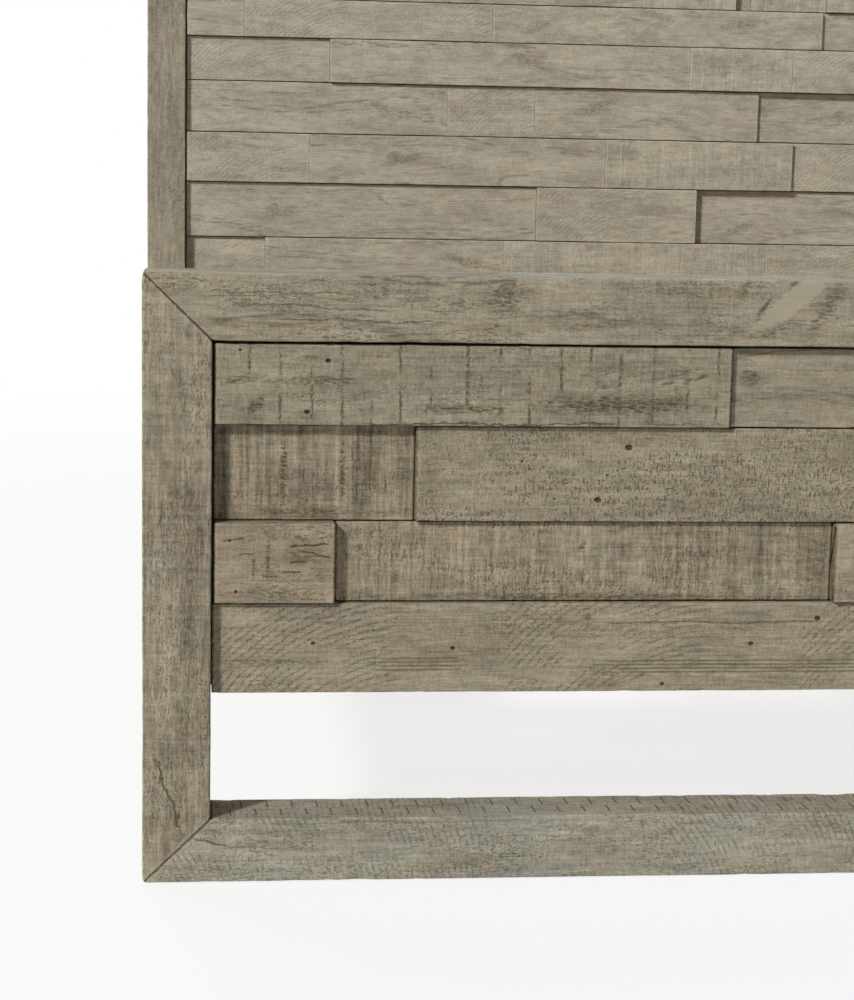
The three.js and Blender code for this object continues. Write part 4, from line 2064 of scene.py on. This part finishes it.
@dataclass
class SideRails:
    """The side rails, their cleats and the cleats' screws.

    Attributes:
        seed: Sets the boards' unevenness and how the screws are turned.
        screws: Screws along a cleat.
        screw_inset: How far the outer screws stand in from a cleat's ends.
    """

    seed: int = 300
    screws: int = 8
    screw_inset: float = 0.12

    def build(self) -> list[Piece]:
        """Build both sides.

        Returns:
            For each side, the rail, its cleat and the cleat's screws.
        """
        made = []
        sides = (("left", LIE_SIDE_LEFT), ("right", LIE_SIDE_RIGHT))
        for number, (side, lie) in enumerate(sides):
            rail, cleat = f"side_rail_{side}", f"slat_cleat_{side}"
            board = Board(f"{rail}_board", lie, span_of(rail, lie), self.seed + number, step=0.008)
            made.append(dressed(board.build(), SIDE_RAIL, (rail,)))
            ledge = Board(
                f"{cleat}_batten",
                lie,
                span_of(cleat, lie),
                self.seed + 10 + number,
                arris=0.0015,
                wander=0.0,
                undulation=0.0002,
                chips=0.0002,
                step=0.02,
            )
            made.append(dressed(ledge.build(), SUPPORT, (cleat,)))
            made.append(self._cleat_screws(cleat, np.array(lie.inward, float)))
        return made

    def _cleat_screws(self, cleat: str, facing: np.ndarray) -> Piece:
        """Make the screws along a cleat's inner face.

        Args:
            cleat: The cleat's node.
            facing: The way from its rail to the middle of the bed.

        Returns:
            The piece.
        """
        low, high = low_corner(cleat), high_corner(cleat)
        x = high[0] if facing[0] > 0 else low[0]
        ys = np.linspace(low[1] + self.screw_inset, high[1] - self.screw_inset, self.screws)
        spots = [np.array((x, y, (low[2] + high[2]) / 2)) for y in ys]
        return ScrewHead().group(f"{cleat}_screws", spots, facing, self.seed)


@dataclass
class SlatDeck:
    """The slats and the screws through them.

    Attributes:
        count: How many slats there are.
        seed: Sets their unevenness and how the screws are turned.
        screw_inset: How far the outer screws stand in from a slat's ends.
        screw_offset: How far each screw stands from a slat's middle line.
        screw_radius: Radius of a screw's head.
    """

    count: int = 10
    seed: int = 400
    screw_inset: float = 0.016
    screw_offset: float = 0.024
    screw_radius: float = 0.004

    def build(self) -> list[Piece]:
        """Build every slat and one piece with all of their screws.

        Returns:
            The slats, then the screws.
        """
        made, spots = [], []
        for number in range(1, self.count + 1):
            node = f"slat_{number:02d}"
            board = Board(
                f"{node}_board",
                LIE_SLAT,
                span_of(node, LIE_SLAT),
                self.seed + number,
                arris=0.002,
                wander=0.0004,
                undulation=0.0003,
                chips=0.0003,
                step=0.02,
                across_step=0.012,
            )
            made.append(dressed(board.build(), SUPPORT, (node,)))
            low, high = low_corner(node), high_corner(node)
            middle = (low[1] + high[1]) / 2
            for x in (low[0] + self.screw_inset, 0.0, high[0] - self.screw_inset):
                for y in (middle - self.screw_offset, middle + self.screw_offset):
                    spots.append(np.array((x, y, high[2])))
        heads = ScrewHead(radius=self.screw_radius)
        return [*made, heads.group("slat_screws", spots, Z_AXIS, self.seed)]


@dataclass(frozen=True)
class LevelingFoot:
    """A screw foot: a turned pad, a hexagon nut and a threaded stud.

    Attributes:
        pad_radius: The pad's radius.
        pad_height: Its height.
        nut_radius: The nut's radius at its corners.
        nut_height: Its height.
        stud_radius: The stud's radius over its thread.
        stud_top: Height of the stud's top over the floor.
        pitch: The thread's pitch.
        thread: The thread's depth.
        crease: Degrees between faces above which their edge is sharp.
    """

    pad_radius: float = 0.020
    pad_height: float = 0.005
    nut_radius: float = 0.009
    nut_height: float = 0.006
    stud_radius: float = 0.004
    stud_top: float = 0.058
    pitch: float = 0.00125
    thread: float = 0.0004
    crease: float = 42.0

    def build(self, node: str, body: str) -> Piece:
        """Build the foot where its node stands.

        The pad, nut and stud are turned profiles, and the stud's thread is a row of
        ridges, r = stud radius, with valleys that lie the thread's depth under it.

        Args:
            node: The foot's node.
            body: The body it rides on.

        Returns:
            The dressed piece.
        """
        low, high = low_corner(node), high_corner(node)
        axis = np.array(((low[0] + high[0]) / 2, (low[1] + high[1]) / 2, low[2]))
        pad_top, nut_top = self.pad_height, self.pad_height + self.nut_height
        r, n = self.pad_radius, self.nut_radius
        pad = (
            (r - 0.0014, 0.0),
            (r - 0.0004, 0.0004),
            (r, 0.0013),
            (r, 0.0026),
            (r - 0.0004, 0.0034),
            (r - 0.0014, 0.0038),
            (n + 0.0020, pad_top - 0.0002),
            (n + 0.0006, pad_top),
        )
        nut = (
            (n - 0.0009, pad_top - 0.0001),
            (n, pad_top + 0.0005),
            (n, nut_top - 0.0005),
            (n - 0.0009, nut_top),
        )
        heights = np.arange(nut_top - 0.0002, self.stud_top - 0.0012, self.pitch / 2)
        radii = self.stud_radius - self.thread * (np.arange(len(heights)) % 2)
        stud = [*zip(radii, heights), (self.stud_radius - 0.0010, self.stud_top)]
        profiles = ((pad, 48), (nut, 6), (stud, 20))
        parts = [turned(profile, axis, Z_AXIS, sides) for profile, sides in profiles]
        piece = make_piece(f"{node}_turned", *joined(parts), crease=self.crease)
        return dressed(piece, FOOT_STEEL, (node,), body)


@dataclass
class CentreSupport:
    """The beam under the slats, its two legs, their bolts and their screw feet.

    Attributes:
        seed: Sets the beam's unevenness.
        bolt_radius: Radius of a carriage bolt's head.
        bolt_dome: How far the head stands out.
        bolt_heights: The bolts' heights over the floor.
        leg_bevel: Width of the legs' eased edges.
        crease: Degrees between a bolt's faces above which their edge is sharp.
    """

    seed: int = 500
    bolt_radius: float = 0.0085
    bolt_dome: float = 0.0032
    bolt_heights: tuple[float, float] = (0.246, 0.272)
    leg_bevel: float = 0.0018
    crease: float = 42.0

    def build(self) -> list[Piece]:
        """Build the beam, the feet and the bolts, and dress the legs.

        Returns:
            The beam, then each leg's foot and bolts.
        """
        beam = Board(
            "center_beam_timber",
            LIE_SIDE_LEFT,
            span_of("center_beam", LIE_SIDE_LEFT),
            self.seed,
            arris=0.0025,
            wander=0.0002,
            undulation=0.0003,
            chips=0.0003,
            step=0.02,
            across_step=0.014,
        )
        made = [dressed(beam.build(), SUPPORT, ("center_beam",))]
        for place, body in (("foot", "leveler_foot_end"), ("head", "leveler_head_end")):
            eased(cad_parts[f"center_leg_{place}"], LEG_PINE, self.leg_bevel)
            made.append(LevelingFoot().build(f"leveling_foot_{place}", body))
            made.append(self._bolts(f"center_leg_{place}"))
        return made

    def _bolts(self, leg: str) -> Piece:
        """Make a leg's two carriage bolts: domed heads on the leg, nuts on the beam.

        The heads' profile is a quarter of an ellipse, and every part sinks a little
        into the wood behind it.

        Args:
            leg: The leg's node.

        Returns:
            The dressed piece.
        """
        low, high = low_corner(leg), high_corner(leg)
        middle = (low[1] + high[1]) / 2
        head_x, back_x = high[0] - 0.0001, low_corner("center_beam")[0] + 0.0004
        dome = [
            (self.bolt_radius * math.cos(angle) + 0.0003, self.bolt_dome * math.sin(angle))
            for angle in np.linspace(0.0, math.pi / 2, 5)
        ]
        washer = ((0.0085, 0.0), (0.0085, 0.0014), (0.0080, 0.0016))
        nut = ((0.0062, 0.0014), (0.0067, 0.0020), (0.0067, 0.0056), (0.0060, 0.0062))
        tip = ((0.0029, 0.0060), (0.0029, 0.0084), (0.0024, 0.0090))
        parts = []
        for height in self.bolt_heights:
            parts.append(turned(dome, np.array((head_x, middle, height)), X_AXIS, 24))
            back = np.array((back_x, middle, height))
            for profile, sides in ((washer, 24), (nut, 6), (tip, 16)):
                parts.append(turned(profile, back, -X_AXIS, sides))
        piece = make_piece(f"{leg}_bolts", *joined(parts), crease=self.crease)
        return dressed(piece, ZINC)


@dataclass
class JointPlates:
    """The slotted and hooked steel plates of the rail joints."""

    corners: tuple[str, ...] = ("foot_left", "foot_right", "head_left", "head_right")
    bevel: float = 0.0004

    def build(self) -> list[Piece]:
        """Dress the plates, whose shape the frame holds.

        Returns:
            The frame's own plates.
        """
        plates = [
            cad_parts[f"{kind}_{corner}"]
            for kind in ("slot_plate", "hook_plate")
            for corner in self.corners
        ]
        for plate in plates:
            eased(plate, ZINC, self.bevel)
        return plates


# ---- light and view


def heading(turn: float, drop: float) -> np.ndarray:
    """Return the direction turned from +Y toward +X and then dropped, both in degrees."""
    turn, drop = math.radians(turn), math.radians(drop)
    return np.array(
        (math.sin(turn) * math.cos(drop), math.cos(turn) * math.cos(drop), -math.sin(drop))
    )


@dataclass(frozen=True)
class Lamp:
    """A lamp of parallel rays over a soft disc of sky.

    Attributes:
        name: Its name.
        angle: Degrees that it stands to the left of the bed's front.
        height: Degrees that it stands above the floor.
        spread: Degrees across that it fills, seen from the bed.
        power: Its strength.
        distance: How far off its object stands, which changes nothing in its light.
    """

    name: str
    angle: float
    height: float
    spread: float
    power: float
    distance: float = 6.0

    def build(self) -> None:
        """Make the lamp and point it at the bed."""
        toward = heading(self.angle, self.height)
        data = bpy.data.lights.new(self.name, "SUN")
        data.angle = math.radians(self.spread)
        data.energy = self.power
        lamp = bpy.data.objects.new(self.name, data)
        lamp.location = -toward * self.distance
        lamp.rotation_euler = Direction(toward).to_track_quat("-Z", "Y").to_euler()
        bpy.context.scene.collection.objects.link(lamp)


@dataclass(frozen=True)
class Studio:
    """A pale floor, a key light from the left front, a weak one behind, and an even fill.

    Attributes:
        lamps: The key light and the light behind the bed.
        fill: Strength of the even light from all round.
        floor_tone: How much light the floor gives back.
        floor_white: Share of plain white in the floor, as the camera sees it.
        floor_radii: The rings of the floor's disc.
        floor_sides: Points to a ring.
        floor_drop: How far the floor lies under the bed's lowest point.
        fade: Where the floor starts and ends turning to plain white, from its middle.
    """

    lamps: tuple[Lamp, ...] = (
        Lamp("key", angle=45.0, height=33.0, spread=7.0, power=3.0),
        Lamp("back", angle=160.0, height=48.0, spread=40.0, power=0.8),
    )
    fill: float = 0.21
    floor_tone: float = 0.85
    floor_white: float = 0.78
    floor_radii: tuple[float, ...] = (0.02, 1.0, 2.0, 4.0, 8.0, 14.0)
    floor_sides: int = 96
    floor_drop: float = 0.0005
    fade: tuple[float, float] = (1.5, 4.0)

    def build(self) -> None:
        """Make the floor, the lamps and the world."""
        self._floor()
        for lamp in self.lamps:
            lamp.build()
        self._world()

    def _floor(self) -> None:
        """Make a disc of rings, (r cos a, r sin a), that faces up."""
        angles = np.arange(self.floor_sides) * 2 * math.pi / self.floor_sides
        radii = np.array(self.floor_radii)[:, None]
        x, y = radii * np.cos(angles), radii * np.sin(angles)
        points = np.stack((x, y, np.full_like(x, -self.floor_drop)), axis=-1).reshape(-1, 3)
        closed = tube_faces(len(radii), self.floor_sides)
        floor = make_piece("studio_floor", points, [face[::-1] for face in closed[:-1]])
        use_material(floor, self._floor_material())

    def _floor_material(self) -> Material:
        """Mix a matte floor with plain white, which only the camera sees, more of it further out.

        Returns:
            The material.
        """
        shader = Shader("studio_floor")
        flat = shader.vector_math("MULTIPLY", shader.own_place(), (1.0, 1.0, 0.0))[0]
        distance = Signal(shader, shader.vector_math("LENGTH", flat)["Value"])
        sight = shader.node("ShaderNodeLightPath", {}, {}).outputs["Is Camera Ray"]
        near = distance.fall(*self.fade) * (1.0 - self.floor_white)
        white_share = (1.0 - near) * Signal(shader, sight)
        tone = (self.floor_tone, self.floor_tone, self.floor_tone, 1.0)
        matte = shader.node("ShaderNodeBsdfDiffuse", {}, {"Color": tone}).outputs[0]
        white = shader.node("ShaderNodeEmission", {}, {"Strength": 1.0}).outputs[0]
        values = {0: white_share, 1: matte, 2: white}
        mixed = shader.node("ShaderNodeMixShader", {}, values).outputs[0]
        shader.node("ShaderNodeOutputMaterial", {}, {"Surface": mixed})
        return shader.material

    def _world(self) -> None:
        """Make an even fill that the camera, and metal, see as plain white."""
        world = bpy.data.worlds.new("studio")
        bpy.context.scene.world = world
        world.use_nodes = True
        nodes = Nodes(world.node_tree)
        path = nodes.node("ShaderNodeLightPath", {}, {}).outputs
        seen = Signal(nodes, path["Is Camera Ray"]).greatest(Signal(nodes, path["Is Glossy Ray"]))
        strength = nodes.node("ShaderNodeMapRange", {}, {0: seen, 3: self.fill, 4: 1.0})
        values = {"Color": WHITE, "Strength": strength.outputs[0]}
        back = nodes.node("ShaderNodeBackground", {}, values)
        nodes.node("ShaderNodeOutputWorld", {}, {0: back.outputs[0]})


@dataclass(frozen=True)
class Camera:
    """The view: low, from the foot of the bed, at its left corner.

    Attributes:
        from_corner: Where it stands from the footboard's low front left corner.
        yaw: Degrees to the right of +Y.
        pitch: Degrees below the horizon.
        roll: Degrees that its right side is lifted by.
        focal_share: Focal length over the picture's longer side.
        sensor: Width of its sensor, in millimetres.
    """

    from_corner: Vector = (0.055, -2.4172, 0.8366)
    yaw: float = 6.032
    pitch: float = 9.398
    roll: float = 1.179
    focal_share: float = 2.24826
    sensor: float = 36.0

    def build(self) -> None:
        """Make the camera and hand it to the scene."""
        ahead = heading(self.yaw, self.pitch)
        level = heading(self.yaw + 90.0, 0.0)
        upward = np.cross(level, ahead)
        roll = math.radians(self.roll)
        turn = np.eye(4)
        turn[:3, 0] = level * math.cos(roll) + upward * math.sin(roll)
        turn[:3, 1] = upward * math.cos(roll) - level * math.sin(roll)
        turn[:3, 2] = -ahead
        turn[:3, 3] = low_corner("footboard_stile_left") + np.array(self.from_corner)
        data = bpy.data.cameras.new("camera")
        data.sensor_fit = "AUTO"
        data.sensor_width = self.sensor
        data.lens = self.focal_share * self.sensor
        camera = bpy.data.objects.new("camera", data)
        camera.matrix_world = Matrix(turn.tolist())
        scene = bpy.context.scene
        scene.collection.objects.link(camera)
        scene.camera = camera
        scene.view_settings.view_transform = "Standard"


def main() -> None:
    """Build the bed, its stage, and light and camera."""
    logging.basicConfig(level=logging.INFO, format="%(name)s: %(message)s")
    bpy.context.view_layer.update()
    assemblies = (
        MitredFrame("footboard", (TOP_RAIL, BOTTOM_RAIL), STILE, seed=10),
        FootPlanks(),
        BackingSheet("footboard", STAINED_SHEET, seed=61, screw_rows=3),
        MitredFrame("headboard", (HEAD_FRAME, HEAD_FRAME), HEAD_FRAME, seed=20, step=0.009),
        HeadPlanks(),
        BackingSheet("headboard", SHEET, seed=62, screw_rows=7),
        SideRails(),
        SlatDeck(),
        CentreSupport(),
        JointPlates(),
    )
    for assembly in assemblies:
        for piece in assembly.build():
            faces = len(piece.data.polygons)
            log.info("%s: %s, %d faces", type(assembly).__name__, piece.name, faces)
    Studio().build()
    Camera().build()


if __name__ == "__main__":
    main()
